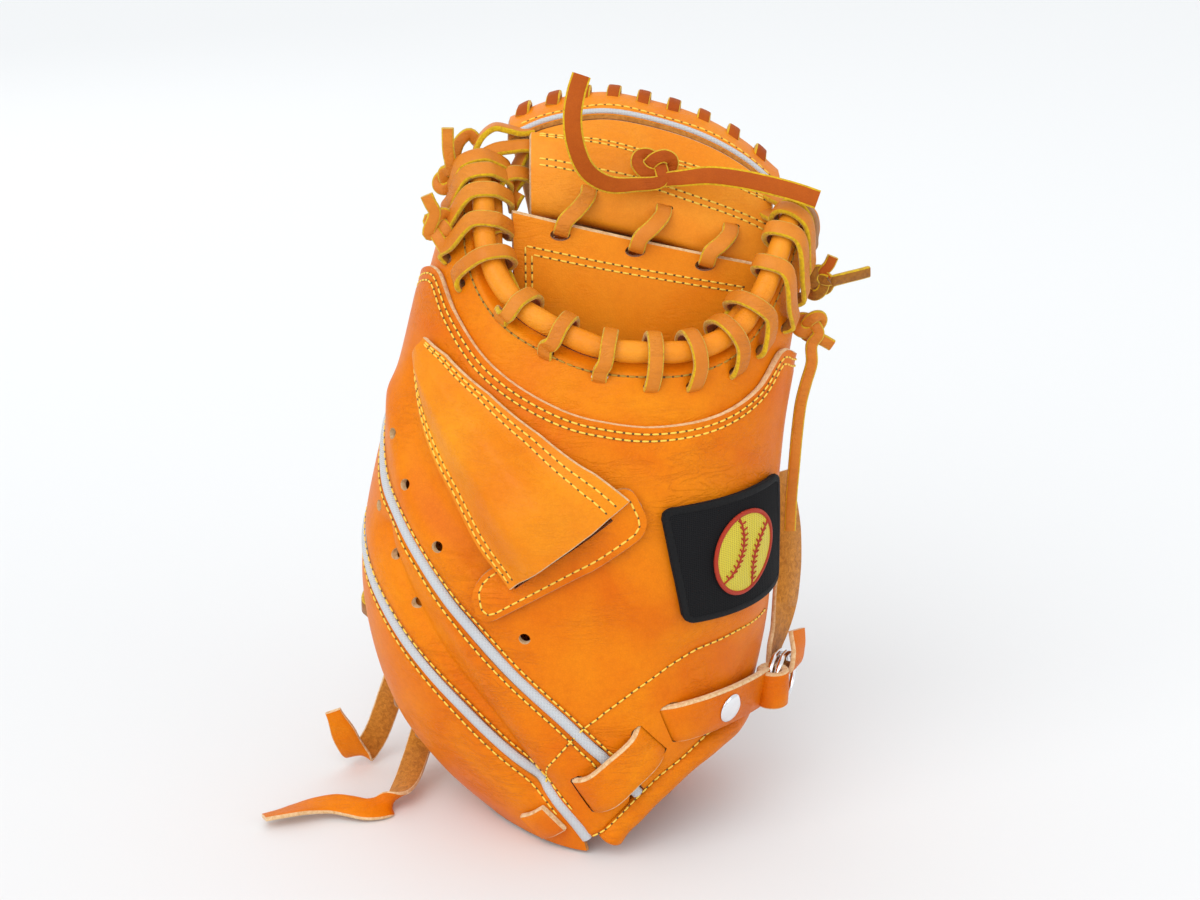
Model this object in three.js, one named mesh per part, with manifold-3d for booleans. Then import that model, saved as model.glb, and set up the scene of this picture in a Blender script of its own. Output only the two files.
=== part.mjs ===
// A leather catcher's mitt for the left hand, standing on its heel with its back to -Y.
// Millimetres, +Z up, the floor at Z = 0. +X is the thumb side and +Y the side of the pocket.
import * as THREE from "three";
import { mergeVertices } from "three/addons/utils/BufferGeometryUtils.js";
import Module from "manifold-3d";

const wasm = await Module();
wasm.setup();

// Driving dimensions
const leather = 2.6; // wall of the back panels
const seat = 0.35; // clearance between pieces that touch
const lift = 0.9; // clearance under pieces laid on the curved back
const laceWidth = 7;
const laceThick = 2.4;
const weltWidth = 3.2; // silver piping between two panels
const weltProud = 0.9;
const rollRadius = 4.4; // rolled edge round the crotch
const wristRollRadius = 5.6; // padded edge of the wrist opening
const sliver = 0.05; // joins and cuts drop edges finer than this
const holeRadius = 2.4; // punched lacing holes
const handDepth = 25; // room for the back of the hand
const rimAngle = 210; // section angle where the back panels end
const standBack = 55; // the part's origin lies this far behind the lowest point of the back

// Cross-sections of the back at a height z, looking down. The curve runs from the thumb rim (angle -30)
// over the thumb side (0), the ridge of the hand (90) and the little finger side (180) to its rim (210).
const sections = [
  { z: 0, left: -50, right: 44, ridge: 2, back: 0, mid: 56, rim: 92, power: 1.5 },
  { z: 20, left: -71, right: 54, ridge: 2, back: -3, mid: 58, rim: 94, power: 1.7 },
  { z: 45, left: -87, right: 63, ridge: 1, back: -6, mid: 60, rim: 97, power: 1.9 },
  { z: 85, left: -98, right: 70, ridge: -2, back: -9, mid: 62, rim: 100, power: 2.05 },
  { z: 125, left: -97, right: 72, ridge: -4, back: -10, mid: 62, rim: 102, power: 2.15 },
  { z: 165, left: -88, right: 75, ridge: -4, back: -5, mid: 62, rim: 102, power: 2.2 },
  { z: 205, left: -78, right: 80, ridge: 2, back: 5, mid: 62, rim: 100, power: 2.2 },
  { z: 240, left: -68, right: 83, ridge: 10, back: 20, mid: 64, rim: 97, power: 2.2 },
  { z: 275, left: -54, right: 78, ridge: 14, back: 38, mid: 68, rim: 92, power: 2.2 },
];

// Seams and edges on the back, as heights over the section angle.
const crotchEdge = curve([
  [-30, 214], [-15, 226], [0, 240], [12, 248], [22, 249], [31, 243], [38, 233], [45, 222], [53, 213],
  [66, 208], [80, 208], [92, 210], [106, 217], [118, 224], [129, 234], [138, 246], [146, 258],
  [156, 267], [168, 267], [180, 262], [195, 250], [210, 237],
]);
const yokeSeam = curve([
  [-30, 186], [0, 196], [15, 201], [28, 205], [39, 194], [55, 187], [74, 185], [87, 187], [99, 192],
  [121, 206], [141, 223], [157, 235], [175, 232], [195, 220], [210, 210],
]);
const ringWelt = curve([
  [60, 17], [72, 28], [91, 50], [99, 65], [108, 82], [116, 98], [127, 117], [142, 137], [159, 151],
  [176, 165], [195, 176], [210, 183],
]);
const littleWelt = curve([
  [97, 1], [101, 8], [105, 18], [110, 30], [119, 47], [129, 67], [140, 85], [153, 102], [171, 117],
  [190, 128], [210, 136],
]);
const wristEdge = curve([
  [-30, 40], [-10, 47], [10, 50], [31, 48], [45, 46], [58, 37], [68, 30], [77, 19], [88, 9], [95, 4],
  [100, 2], [120, 1.5], [210, 1.5],
]);

// Valleys and ridges in the back, by depth and half width, along lines of angle and height.
const folds = [
  { depth: -4.5, half: 8, line: [[111, 35], [117, 55], [124, 78], [131, 98], [140, 116], [153, 130]] },
  { depth: 2.2, half: 10, line: [[104, 45], [112, 66], [120, 90], [130, 107], [146, 125]] },
  { depth: -3.5, half: 8, line: [[112, 128], [122, 143], [135, 158], [148, 176], [156, 196]] },
  { depth: 2.4, half: 8, line: [[118, 118], [128, 135], [144, 155], [157, 171], [172, 183]] },
  { depth: -2.2, half: 14, line: [[30, 75], [60, 90], [80, 100]] },
];

// A smooth curve through [angle, height] pairs, read as height at an angle.
function curve(pairs) {
  return (angle) => hermite(pairs, 0, 1, angle);
}

// Smooth interpolation through rows, where `key` is the argument's column and `value` the result's.
function hermite(rows, key, value, at) {
  const last = rows.length - 1;
  let i = 0;
  while (i < last - 1 && at > rows[i + 1][key]) i += 1;
  const slope = (j) => {
    const a = rows[Math.max(j - 1, 0)];
    const b = rows[Math.min(j + 1, last)];
    return (b[value] - a[value]) / (b[key] - a[key]);
  };
  const width = rows[i + 1][key] - rows[i][key];
  const t = (at - rows[i][key]) / width;
  if (t < 0) return rows[0][value] + slope(0) * width * t;
  if (t > 1) return rows[last][value] + slope(last) * width * (t - 1);
  const t2 = t * t;
  const t3 = t2 * t;
  return (
    (2 * t3 - 3 * t2 + 1) * rows[i][value] +
    (t3 - 2 * t2 + t) * width * slope(i) +
    (3 * t2 - 2 * t3) * rows[i + 1][value] +
    (t3 - t2) * width * slope(i + 1)
  );
}

function sectionAt(z) {
  const row = {};
  for (const name of ["left", "right", "ridge", "back", "mid", "rim", "power"])
    row[name] = hermite(sections, "z", name, z);
  return row;
}

const rad = THREE.MathUtils.degToRad;
const smooth = THREE.MathUtils.smoothstep;

// The unfolded back surface at an angle and a height.
function smoothBack(angle, z) {
  const s = sectionAt(z);
  const c = Math.cos(rad(angle));
  const n = Math.sin(rad(angle));
  const reach = c >= 0 ? s.right - s.ridge : s.ridge - s.left;
  if (n < 0)
    return new THREE.Vector3(s.ridge + reach * c, s.mid - ((s.rim - s.mid) * n) / 0.5, z);
  const k = 2 / s.power;
  return new THREE.Vector3(
    s.ridge + reach * Math.sign(c) * Math.abs(c) ** k,
    s.mid - (s.mid - s.back) * n ** k,
    z,
  );
}

// Outward normal of the back, taken across a few millimetres so that it stays smooth.
function backNormal(angle, z) {
  const across = smoothBack(angle - 2, z).sub(smoothBack(angle + 2, z));
  const up = smoothBack(angle, z + 3).sub(smoothBack(angle, z - 3));
  return across.cross(up).normalize();
}

// How far the folds push the surface out at an angle and a height.
function foldHeight(angle, z) {
  const mmPerDegree = 1.25;
  let sum = 0;
  for (const fold of folds) {
    let nearest = Infinity;
    for (let i = 1; i < fold.line.length; i += 1) {
      const [a0, z0] = fold.line[i - 1];
      const [a1, z1] = fold.line[i];
      const ax = (a1 - a0) * mmPerDegree;
      const az = z1 - z0;
      const px = (angle - a0) * mmPerDegree;
      const pz = z - z0;
      const t = THREE.MathUtils.clamp((px * ax + pz * az) / (ax * ax + az * az), 0, 1);
      nearest = Math.min(nearest, Math.hypot(px - t * ax, pz - t * az));
    }
    sum += fold.depth * Math.exp(-((nearest / fold.half) ** 2));
  }
  return sum;
}

// A point on the back, `inset` millimetres inside its outer face.
function onBack(angle, z, inset = 0) {
  return smoothBack(angle, z).addScaledVector(backNormal(angle, z), foldHeight(angle, z) - inset);
}

// A point of a section, drawn in towards the middle of the pocket by `inset` millimetres.
function drawnIn(angle, z, inset) {
  const s = sectionAt(z);
  const middle = new THREE.Vector3(s.ridge, s.rim - 6, z);
  const p = smoothBack(angle, z);
  const radius = p.distanceTo(middle);
  return p.lerp(middle, Math.min(inset / radius, 0.98));
}

// A closed solid between two grids of points that share their layout.
function sheet(nu, nv, outer, inner) {
  const position = [];
  const index = [];
  const id = (side, i, j) => side * (nu + 1) * (nv + 1) + i * (nv + 1) + j;
  for (const face of [outer, inner])
    for (let i = 0; i <= nu; i += 1)
      for (let j = 0; j <= nv; j += 1) position.push(...face(i / nu, j / nv).toArray());
  const quad = (a, b, c, d) => index.push(a, b, c, a, c, d);
  for (let i = 0; i < nu; i += 1)
    for (let j = 0; j < nv; j += 1) {
      quad(id(0, i, j), id(0, i + 1, j), id(0, i + 1, j + 1), id(0, i, j + 1));
      quad(id(1, i, j), id(1, i, j + 1), id(1, i + 1, j + 1), id(1, i + 1, j));
    }
  for (let i = 0; i < nu; i += 1) {
    quad(id(0, i, 0), id(1, i, 0), id(1, i + 1, 0), id(0, i + 1, 0));
    quad(id(0, i, nv), id(0, i + 1, nv), id(1, i + 1, nv), id(1, i, nv));
  }
  for (let j = 0; j < nv; j += 1) {
    quad(id(0, 0, j), id(0, 0, j + 1), id(1, 0, j + 1), id(1, 0, j));
    quad(id(0, nu, j), id(1, nu, j), id(1, nu, j + 1), id(0, nu, j + 1));
  }
  return facingOut(position, index);
}

// A strip or tube swept through stations, each with its centre and the direction of its width.
function sweep(stations, profile, closed = false) {
  const position = [];
  const index = [];
  const count = stations.length;
  const sides = profile.length;
  stations.forEach((station, i) => {
    const before = stations[closed ? (i + count - 1) % count : Math.max(i - 1, 0)].at;
    const after = stations[closed ? (i + 1) % count : Math.min(i + 1, count - 1)].at;
    const along = after.clone().sub(before).normalize();
    const across = station.across.clone().addScaledVector(along, -station.across.dot(along)).normalize();
    const thick = along.clone().cross(across);
    for (const [a, b] of profile)
      position.push(...station.at.clone().addScaledVector(across, a).addScaledVector(thick, b).toArray());
  });
  for (let i = 0; i < (closed ? count : count - 1); i += 1)
    for (let k = 0; k < sides; k += 1) {
      const a = i * sides + k;
      const b = i * sides + ((k + 1) % sides);
      const c = ((i + 1) % count) * sides + ((k + 1) % sides);
      const d = ((i + 1) % count) * sides + k;
      index.push(a, b, c, a, c, d);
    }
  if (!closed)
    for (let k = 1; k < sides - 1; k += 1) {
      index.push(0, k + 1, k);
      const base = (count - 1) * sides;
      index.push(base, base + k, base + k + 1);
    }
  return facingOut(position, index);
}

// Makes an indexed geometry, turned over if its faces point inwards.
function facingOut(position, index) {
  let volume = 0;
  const at = (i) => new THREE.Vector3().fromArray(position, i * 3);
  for (let i = 0; i < index.length; i += 3)
    volume += at(index[i]).dot(at(index[i + 1]).cross(at(index[i + 2])));
  if (volume < 0)
    for (let i = 0; i < index.length; i += 3)
      [index[i + 1], index[i + 2]] = [index[i + 2], index[i + 1]];
  const geometry = new THREE.BufferGeometry();
  geometry.setAttribute("position", new THREE.Float32BufferAttribute(position, 3));
  geometry.setIndex(index);
  return geometry;
}

const flatProfile = (width, thick) => [
  [-width / 2, -thick / 2], [width / 2, -thick / 2], [width / 2, thick / 2], [-width / 2, thick / 2],
];
const roundProfile = (radius, sides, flat = 1) =>
  Array.from({ length: sides }, (_, k) => {
    const a = (2 * Math.PI * k) / sides;
    return [radius * Math.cos(a), radius * flat * Math.sin(a)];
  });

// Stations along a smooth line through control points, with width directions blended from the points' own.
function stationsThrough(points, across, steps) {
  const line = new THREE.CatmullRomCurve3(points, false, "centripetal");
  return Array.from({ length: steps + 1 }, (_, i) => {
    const t = i / steps;
    const place = t * (points.length - 1);
    const j = Math.min(Math.floor(place), points.length - 2);
    const wide = Array.isArray(across) ? across[j].clone().lerp(across[j + 1], place - j) : across.clone();
    return { at: line.getPoint(t), across: wide };
  });
}

// Joins and cuts
function solid(geometry) {
  const bare = new THREE.BufferGeometry();
  bare.setAttribute("position", geometry.getAttribute("position").clone());
  if (geometry.index) bare.setIndex(geometry.index.clone());
  const merged = mergeVertices(bare, 1e-4);
  return new wasm.Manifold(
    new wasm.Mesh({
      numProp: 3,
      vertProperties: new Float32Array(merged.attributes.position.array),
      triVerts: new Uint32Array(merged.index.array),
    }),
  );
}

function geometryOf(made) {
  const mesh = made.simplify(sliver).getMesh();
  const geometry = new THREE.BufferGeometry();
  geometry.setAttribute("position", new THREE.BufferAttribute(new Float32Array(mesh.vertProperties), 3));
  geometry.setIndex(new THREE.BufferAttribute(new Uint32Array(mesh.triVerts), 1));
  return geometry;
}

const cut = (geometry, tools) =>
  geometryOf(tools.reduce((rest, tool) => rest.subtract(solid(tool)), solid(geometry)));
const join = (geometries) =>
  geometryOf(geometries.slice(1).reduce((sum, g) => sum.add(solid(g)), solid(geometries[0])));

// Leather, thread and metal finishes
const finish = (color, roughness, metalness = 0) =>
  new THREE.MeshStandardMaterial({ color, roughness, metalness });
const tan = finish(0xe07b18, 0.42);
const palmTan = finish(0xd8741c, 0.5);
const laceTan = finish(0xb5642a, 0.55);
const suede = finish(0xa8642a, 0.9);
const silver = finish(0xc9cdd2, 0.5, 0.2);
const black = finish(0x17181b, 0.85);
const gold = finish(0xd9b62c, 0.6);
const chrome = finish(0xd8dadd, 0.15, 1);

const mitt = new THREE.Group();
function add(name, geometry, material) {
  const mesh = new THREE.Mesh(geometry, material);
  mesh.name = name;
  mitt.add(mesh);
}

// Back panels, parted by two piped seams and lapped over the yoke at the top.
const weltGap = weltWidth / 2 + 1;
function seamShift(seam, angle) {
  const step = 2;
  const a = smoothBack(angle - step, seam(angle - step));
  const b = smoothBack(angle + step, seam(angle + step));
  const rise = (b.z - a.z) / Math.hypot(b.x - a.x, b.y - a.y);
  const steepPart = 0.9 * (1 - smooth(angle, 114, 132));
  return (weltGap + steepPart) * Math.sqrt(1 + rise * rise);
}

function panel(from, to, low, high, nu, nv, inset, wall) {
  const spot = (u, v) => {
    const angle = from + (to - from) * u;
    const z = low(angle) + (high(angle) - low(angle)) * v;
    return [angle, z];
  };
  return sheet(nu, nv, (u, v) => onBack(...spot(u, v), inset), (u, v) => onBack(...spot(u, v), inset + wall));
}

const aboveWelt = (seam) => (angle) => seam(angle) + seamShift(seam, angle);
const belowWelt = (seam) => (angle) => seam(angle) - seamShift(seam, angle);
const edgeLift = 3.4; // the panels end this far above the stitch line of the padded wrist edge
const ringMeetsWrist = 71;
const littleMeetsWrist = 98;

const handPanel = panel(
  -30, rimAngle,
  (a) => {
    if (a >= ringMeetsWrist) return aboveWelt(ringWelt)(a);
    return Math.max(wristEdge(a) + edgeLift, a > 60 ? aboveWelt(ringWelt)(a) : 0);
  },
  yokeSeam, 27, 5, 0, leather,
);
const ringPanel = panel(
  ringMeetsWrist + 4, rimAngle,
  (a) => (a < littleMeetsWrist + 2 ? wristEdge(a) + edgeLift + 3 : aboveWelt(littleWelt)(a)),
  belowWelt(ringWelt), 14, 4, 0, leather,
);
const littlePanel = panel(
  littleMeetsWrist + 5, rimAngle, wristEdge, belowWelt(littleWelt), 10, 5, 0, leather,
);

// Lacing holes punched through the panels
const handHoles = [[175, 183], [157, 171], [144, 155], [128, 135], [105, 101]];
const ringHoles = [[160, 140], [148, 124], [138, 106]];
function punch(angle, z, radius) {
  const length = 14;
  const pin = new THREE.CylinderGeometry(radius, radius, length, 6);
  const turn = new THREE.Quaternion().setFromUnitVectors(new THREE.Vector3(0, 1, 0), backNormal(angle, z));
  pin.applyQuaternion(turn);
  const at = onBack(angle, z);
  return pin.translate(at.x, at.y, at.z);
}

// A strap or lace, with a slightly larger twin that clears its way through other pieces.
function strap(points, across, width, thick, steps) {
  const stations = stationsThrough(points, across, steps);
  const longer = stations.map(({ at, across: wide }) => ({ at: at.clone(), across: wide }));
  const last = longer.length - 1;
  longer[0].at.add(stations[0].at.clone().sub(stations[1].at).setLength(seat));
  longer[last].at.add(stations[last].at.clone().sub(stations[last - 1].at).setLength(seat));
  return {
    body: sweep(stations, flatProfile(width, thick)),
    clear: sweep(longer, flatProfile(width + 2 * seat, thick + 2 * seat)),
  };
}

const vec = (x, y, z) => new THREE.Vector3(x, y, z);
const place = ([x, y, z]) => vec(x, y, z);

// Width directions of a strap that lies on the back along rows of [angle, height, inset].
function alongBack(rows) {
  const points = rows.map(([angle, z, inset]) => onBack(angle, z, inset));
  const across = rows.map(([angle, z], i) => {
    const before = points[Math.max(i - 1, 0)];
    const after = points[Math.min(i + 1, points.length - 1)];
    return backNormal(angle, z).cross(after.clone().sub(before)).normalize();
  });
  return { points, across };
}

function backStrap(rows, width, thick, steps) {
  const { points, across } = alongBack(rows);
  return strap(points, across, width, thick, steps);
}

// Four-sided patch on the back between two insets, from corners listed round it.
function patchOnBack(corners, nu, nv, outside, inside) {
  const [a, b, c, d] = corners;
  const spot = (u, v) => [0, 1].map((k) => {
    const low = a[k] + (b[k] - a[k]) * u;
    const high = d[k] + (c[k] - d[k]) * u;
    return low + (high - low) * v;
  });
  return sheet(nu, nv, (u, v) => onBack(...spot(u, v), outside), (u, v) => onBack(...spot(u, v), inside));
}

// Padded palm, shaped like a C round the pocket, with room for the hand between it and the back
const pocketShare = [
  [0, 0.2], [15, 0.3], [35, 0.43], [60, 0.52], [100, 0.58], [200, 0.6], [280, 0.62],
];
const lipStart = 211.5;
const lipEnd = 224;
function handRoom(angle, z) {
  const middle = hermite([[0, 62], [60, 74], [150, 94], [215, 100]], 0, 1, z);
  const half = hermite([[0, 54], [100, 50], [215, 44]], 0, 1, z);
  const depth = handDepth * (1 - smooth(z, 150, 215) * 0.75);
  return depth * (1 - smooth(Math.abs(angle - middle) / half, 0.5, 1));
}

const padDrop = 26;
function padPoint(u, v, side) {
  const angle = -44 + (lipEnd + 44) * u;
  const clamped = THREE.MathUtils.clamp(angle, -30, rimAngle);
  const top = Math.min(...[-14, 0, 14].map((step) => crotchEdge(clamped + step))) - padDrop;
  const z = top * v ** 1.15;
  const underYoke = smooth(z, yokeSeam(clamped) - 22, yokeSeam(clamped) - 13);
  const edge = wristEdge(clamped);
  const rollBay = (1 - smooth(z, edge + 2, edge + 26)) * (1 - smooth(angle, 86, 104));
  const skin = leather + lift + 1.2 + underYoke * (leather + 0.6) + 7.5 * rollBay
    + 1.2 * Math.max(0, -foldHeight(angle, z));
  const level = backNormal(angle, z).setZ(0);
  const start = smoothBack(angle, z).addScaledVector(level, -skin / level.lengthSq());
  const s = sectionAt(z);
  const middle = vec(s.ridge, s.rim - 6, z);
  const share = hermite(pocketShare, 0, 1, z) * (1 + 0.12 * Math.cos(rad(angle)) ** 2);
  const outer = start.clone().lerp(middle, handRoom(angle, z) / start.distanceTo(middle));
  const inner = smoothBack(angle, z).sub(middle).multiplyScalar(share).add(middle);
  const rim = Math.max(angle - lipStart, -30 - 1.5 - angle, 0) / (lipEnd - lipStart);
  const crown = Math.max(v - 0.93, 0) / 0.07;
  const thin = Math.sqrt(Math.max(1 - Math.min(rim, 1) ** 2, 0.02))
    * Math.sqrt(Math.max(1 - crown ** 2, 0.15));
  const heart = outer.clone().add(inner).multiplyScalar(0.5);
  return (side === "outer" ? outer : inner).sub(heart).multiplyScalar(thin).add(heart);
}
const palmPad = sheet(27, 8, (u, v) => padPoint(u, v, "outer"), (u, v) => padPoint(u, v, "inner"));

// Line of the rolled edge round the crotch, by angle and height
const rollLine = [
  [163, 276], [153, 271], [144, 262], [138, 251], [129, 239], [118, 229], [106, 222], [92, 215], [80, 213],
  [66, 213], [53, 218], [45, 227], [38, 238], [31, 248], [22, 254], [13, 254],
];
function rollHeight(angle) {
  return hermite([...rollLine].reverse(), 0, 1, angle);
}

// Yoke round the crotch, its lower edge lapped by the hand panel
const yokeInset = (v) => leather + seat + 0.25 - 1.4 * v;
function yokeTop(angle) {
  if (angle < 15 || angle > 162) return crotchEdge(angle);
  const a = onBack(angle - 2, rollHeight(angle - 2), 0);
  const b = onBack(angle + 2, rollHeight(angle + 2), 0);
  const rise = (b.z - a.z) / Math.hypot(b.x - a.x, b.y - a.y);
  return rollHeight(angle) - (rollRadius + 2.8) * Math.sqrt(1 + rise * rise);
}
const yokeSpot = (u, v) => {
  const angle = -30 + (rimAngle + 30) * u;
  return [angle, yokeSeam(angle) - 8 + (yokeTop(angle) - yokeSeam(angle) + 8) * v];
};
const yoke = sheet(
  27, 2,
  (u, v) => onBack(...yokeSpot(u, v), yokeInset(v)),
  (u, v) => onBack(...yokeSpot(u, v), yokeInset(v) + 2.4),
);

// Rolled edges and their lacing
const rollInset = 3;
const innerRadius = 3.4;
const innerFrom = 44; // the inner roll ends here at the thumb side
const innerRollInset = rollInset + rollRadius + innerRadius + seat + 0.2;
function rollPiece(inset, drop, radius, sides, steps, from) {
  const rows = rollLine.filter(([angle]) => angle >= from);
  const points = rows.map(([angle, z]) => onBack(angle, z - drop, inset));
  return sweep(stationsThrough(points, vec(0, 0, 1), steps), roundProfile(radius, sides));
}
const crotchRoll = rollPiece(rollInset, 0, rollRadius, 6, 24, 0);
const innerRoll = rollPiece(innerRollInset, 1, innerRadius, 6, 18, innerFrom);

// A frame on the rolled edge at an angle: its direction, and points outwards and up from its centre
function rollFrame(angle) {
  const at = (a) => onBack(a, rollHeight(a), rollInset);
  const centre = at(angle);
  const axis = at(angle - 2).sub(at(angle + 2)).normalize();
  const normal = backNormal(angle, rollHeight(angle));
  const out = normal.addScaledVector(axis, -normal.dot(axis)).normalize();
  const up = out.clone().cross(axis).normalize();
  if (up.z < 0) up.negate();
  const spot = (n, b) => centre.clone().addScaledVector(out, n).addScaledVector(up, b);
  return { axis, spot };
}
const wrapReach = rollRadius + laceThick / 2 + 1.6;
const innerReach = innerRollInset - rollInset + innerRadius + laceThick / 2 + 1.5;

// Whip lacing over both rolled edges: a closed wrap for each hole [angle, height] and its place on the roll
const wraps = [
  [144, 233, 133], [122, 223, 117], [106, 212, 103], [91, 204, 90.5], [78, 200, 79], [65, 199, 67],
  [50, 202, 55], [39, 208, 46.5],
];
function closedStrap(points, across, width, thick, steps) {
  const line = new THREE.CatmullRomCurve3(points, true, "centripetal");
  const stations = Array.from({ length: steps }, (_, i) => ({ at: line.getPoint(i / steps), across }));
  return {
    body: sweep(stations, flatProfile(width, thick), true),
    clear: sweep(stations, flatProfile(width + 2 * seat, thick + 2 * seat), true),
  };
}
function crotchWrap([angle, hole, onRoll]) {
  const { axis, spot } = rollFrame(onRoll);
  const points = [
    spot(-innerReach, -1), spot(-innerReach + 3, wrapReach - 2.2), spot(-4, wrapReach),
    spot(1.5, wrapReach - 0.6), spot(wrapReach, 1), spot(wrapReach - 1.2, -6),
    onBack(angle, hole + 2.4, -0.6), onBack(angle, hole - 0.6, 2.6), onBack(angle, hole, 7.4),
    onBack(angle, hole + 1, 13.5),
  ];
  return closedStrap(points, axis, laceWidth - 0.4, laceThick, 9);
}
const crotchWraps = wraps.map(crotchWrap);
const crotchRun = strap(
  wraps.map(([, , onRoll]) => rollFrame(onRoll).spot(-innerReach, -1)), vec(0, 0, 1), 5, laceThick, 8,
);

// Piping of the two seams
function welt(seam, from, to, steps) {
  const points = [];
  for (let i = 0; i <= steps; i += 1) {
    const angle = from + ((to - from) * i) / steps;
    points.push([angle, seam(angle), (leather - weltProud) / 2]);
  }
  return backStrap(points, weltWidth, leather + weltProud, steps);
}
const longWelt = welt(ringWelt, 74, 201, 19);
const shortWelt = welt(littleWelt, 101, 201, 17);

// Padded edge of the wrist opening
const wristLine = [
  [86, 6.2], [80, 12.5], [73, 19], [66, 26], [58, 33.5], [48, 39.5], [38, 42], [26, 43], [12, 43], [-2, 42],
  [-14, 38], [-24, 34],
];
const wristRoll = (radius) =>
  sweep(
    stationsThrough(wristLine.map(([angle, z]) => onBack(angle, z, 3.2)), vec(0, 0, 1), 16),
    roundProfile(radius, 6),
  );

// Finger hood: a raised flap that widens from its tip down to an open mouth over the finger slot
const hoodLeft = [[156, 198], [148, 188], [141, 178], [127, 158], [116, 138], [109, 123]];
const hoodRight = [[149, 211], [137, 207], [119, 196], [103, 183], [90, 170], [81, 159]];
const hoodHeight = 10;
const hoodWall = 2.5;
function along(rows, t) {
  const at = t * (rows.length - 1);
  const i = Math.min(Math.floor(at), rows.length - 2);
  return [0, 1].map((k) => rows[i][k] + (rows[i + 1][k] - rows[i][k]) * (at - i));
}
const mouthHang = 4.5;
function hoodPoint(u, v, raise) {
  const [a0, z0] = along(hoodLeft, v);
  const [a1, z1] = along(hoodRight, v);
  const bulge = hoodHeight * Math.sin(Math.PI * u) ** 0.8 * (0.12 + 0.88 * v ** 0.8);
  const overStrip = 3.4 * smooth(v, 0.62, 0.84);
  const hang = mouthHang * Math.sin(Math.PI * u) * v ** 4;
  const angle = a0 + (a1 - a0) * u + 0.55 * hang;
  const z = z0 + (z1 - z0) * u - 0.7 * hang;
  return onBack(angle, z, -(lift + 0.5 + raise + bulge + overStrip));
}
const fingerHood = sheet(
  8, 7, (u, v) => hoodPoint(u, v, hoodWall), (u, v) => hoodPoint(u, v, 0),
);

// Strip with the finger slot, partly under the hood
const slotStrip = patchOnBack(
  [[115, 106], [74, 147], [81, 166], [117, 124]], 6, 2, -lift - 2.6, -lift - 0.6,
);
const slit = backStrap([[106, 124, 0], [99, 133, 0], [91, 143, 0], [84.5, 152, 0]], 6.5, 22, 3).body;

// Cloth patch on the thumb side and its embroidered badge
const backPatch = patchOnBack([[63, 106], [8, 103], [23, 156], [72, 154]], 5, 4, -lift - 2.6, -lift - 0.2);
const badgeMiddle = [41, 130];
const badgeRadius = 17.5;
const badge = (() => {
  const [angle, z] = badgeMiddle;
  const disc = new THREE.CylinderGeometry(badgeRadius, badgeRadius, 1.2, 18);
  disc.applyQuaternion(new THREE.Quaternion().setFromUnitVectors(vec(0, 1, 0), backNormal(angle, z)));
  const at = onBack(angle, z, -lift - 2.8 - seat - 0.6 - 0.1);
  return disc.translate(at.x, at.y, at.z);
})();

// Wrist belt: up out of the heel, through the keeper slits and on to the rings at the thumb side
const beltThick = 3;
const beltWidth = 18;
const wristBelt = backStrap([
  [101.5, 28.5, 5.4], [98, 30, 4], [96, 31.5, -1], [91, 35, -3.6], [82, 43.5, -3.6], [74, 52, -2.4],
  [70, 56, 3.2], [67, 59, 3.6], [62, 61.5, -1.4], [54, 62.5, -3], [42, 62, -3.2], [28, 59.5, -3.2],
  [15, 57, -4.6],
], beltWidth, beltThick, 19);
const heelTab = backStrap([[122, 10.5, -2.2], [116, 14, -2.6], [110, 18.5, -2.2]], 15, 2.4, 5);

// Two round rings in the folded end of the belt
const ringRadius = 10.6;
const ringWire = 1.3;
const ringSide = vec(0.42, 0.9, 0).normalize();
const ringOut = vec(0.9, -0.42, 0).normalize();
const ringHeart = vec(76, 52, 56.5);
function buckleRing(shift, wire) {
  const up = vec(0, 0, 1);
  const middle = ringHeart.clone().addScaledVector(ringOut, shift);
  const stations = Array.from({ length: 13 }, (_, i) => {
    const a = (2 * Math.PI * i) / 13;
    const at = middle.clone().addScaledVector(up, ringRadius * Math.cos(a));
    return { at: at.addScaledVector(ringSide, ringRadius * Math.sin(a)), across: ringOut };
  });
  return sweep(stations, roundProfile(wire, 5), true);
}
const ringShifts = [-1.7, 1.7];
const ringRoom = ringShifts.map((shift) => buckleRing(shift, ringWire + seat));
const beltFold = turn(
  ringHeart.clone().addScaledVector(ringSide, -ringRadius + 0.6), vec(0, 0, 1), 5.2, beltWidth - 2, beltThick,
);

// Strap from the thumb side, arched out and drawn through the rings with its end folded back
const thumbStrap = strap(
  [[75, 84, 136], [77, 79, 129], [81.5, 74, 118], [85.5, 72, 102], [86, 70, 86], [84.5, 68, 73],
    [83.5, 67, 62], [84, 66, 52], [86, 64, 45]].map(place),
  [vec(0, 1, 0.2), vec(0, 1, 0.1), vec(0, 1, 0.1), vec(0, 1, 0.1), vec(0, 1, 0.1), vec(-0.2, 1, 0),
    vec(-0.3, 1, 0), vec(-0.3, 1, 0), vec(-0.3, 1, 0)],
  15, 2.4, 15,
);

// Rivet through the belt
const rivet = (() => {
  const [angle, z] = [42, 62];
  const cap = new THREE.CylinderGeometry(3.4, 5.5, 1.3, 16);
  cap.applyQuaternion(new THREE.Quaternion().setFromUnitVectors(vec(0, 1, 0), backNormal(angle, z)));
  const at = onBack(angle, z, -3.2 - beltThick / 2 - seat - 0.9);
  return cap.translate(at.x, at.y, at.z);
})();

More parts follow.
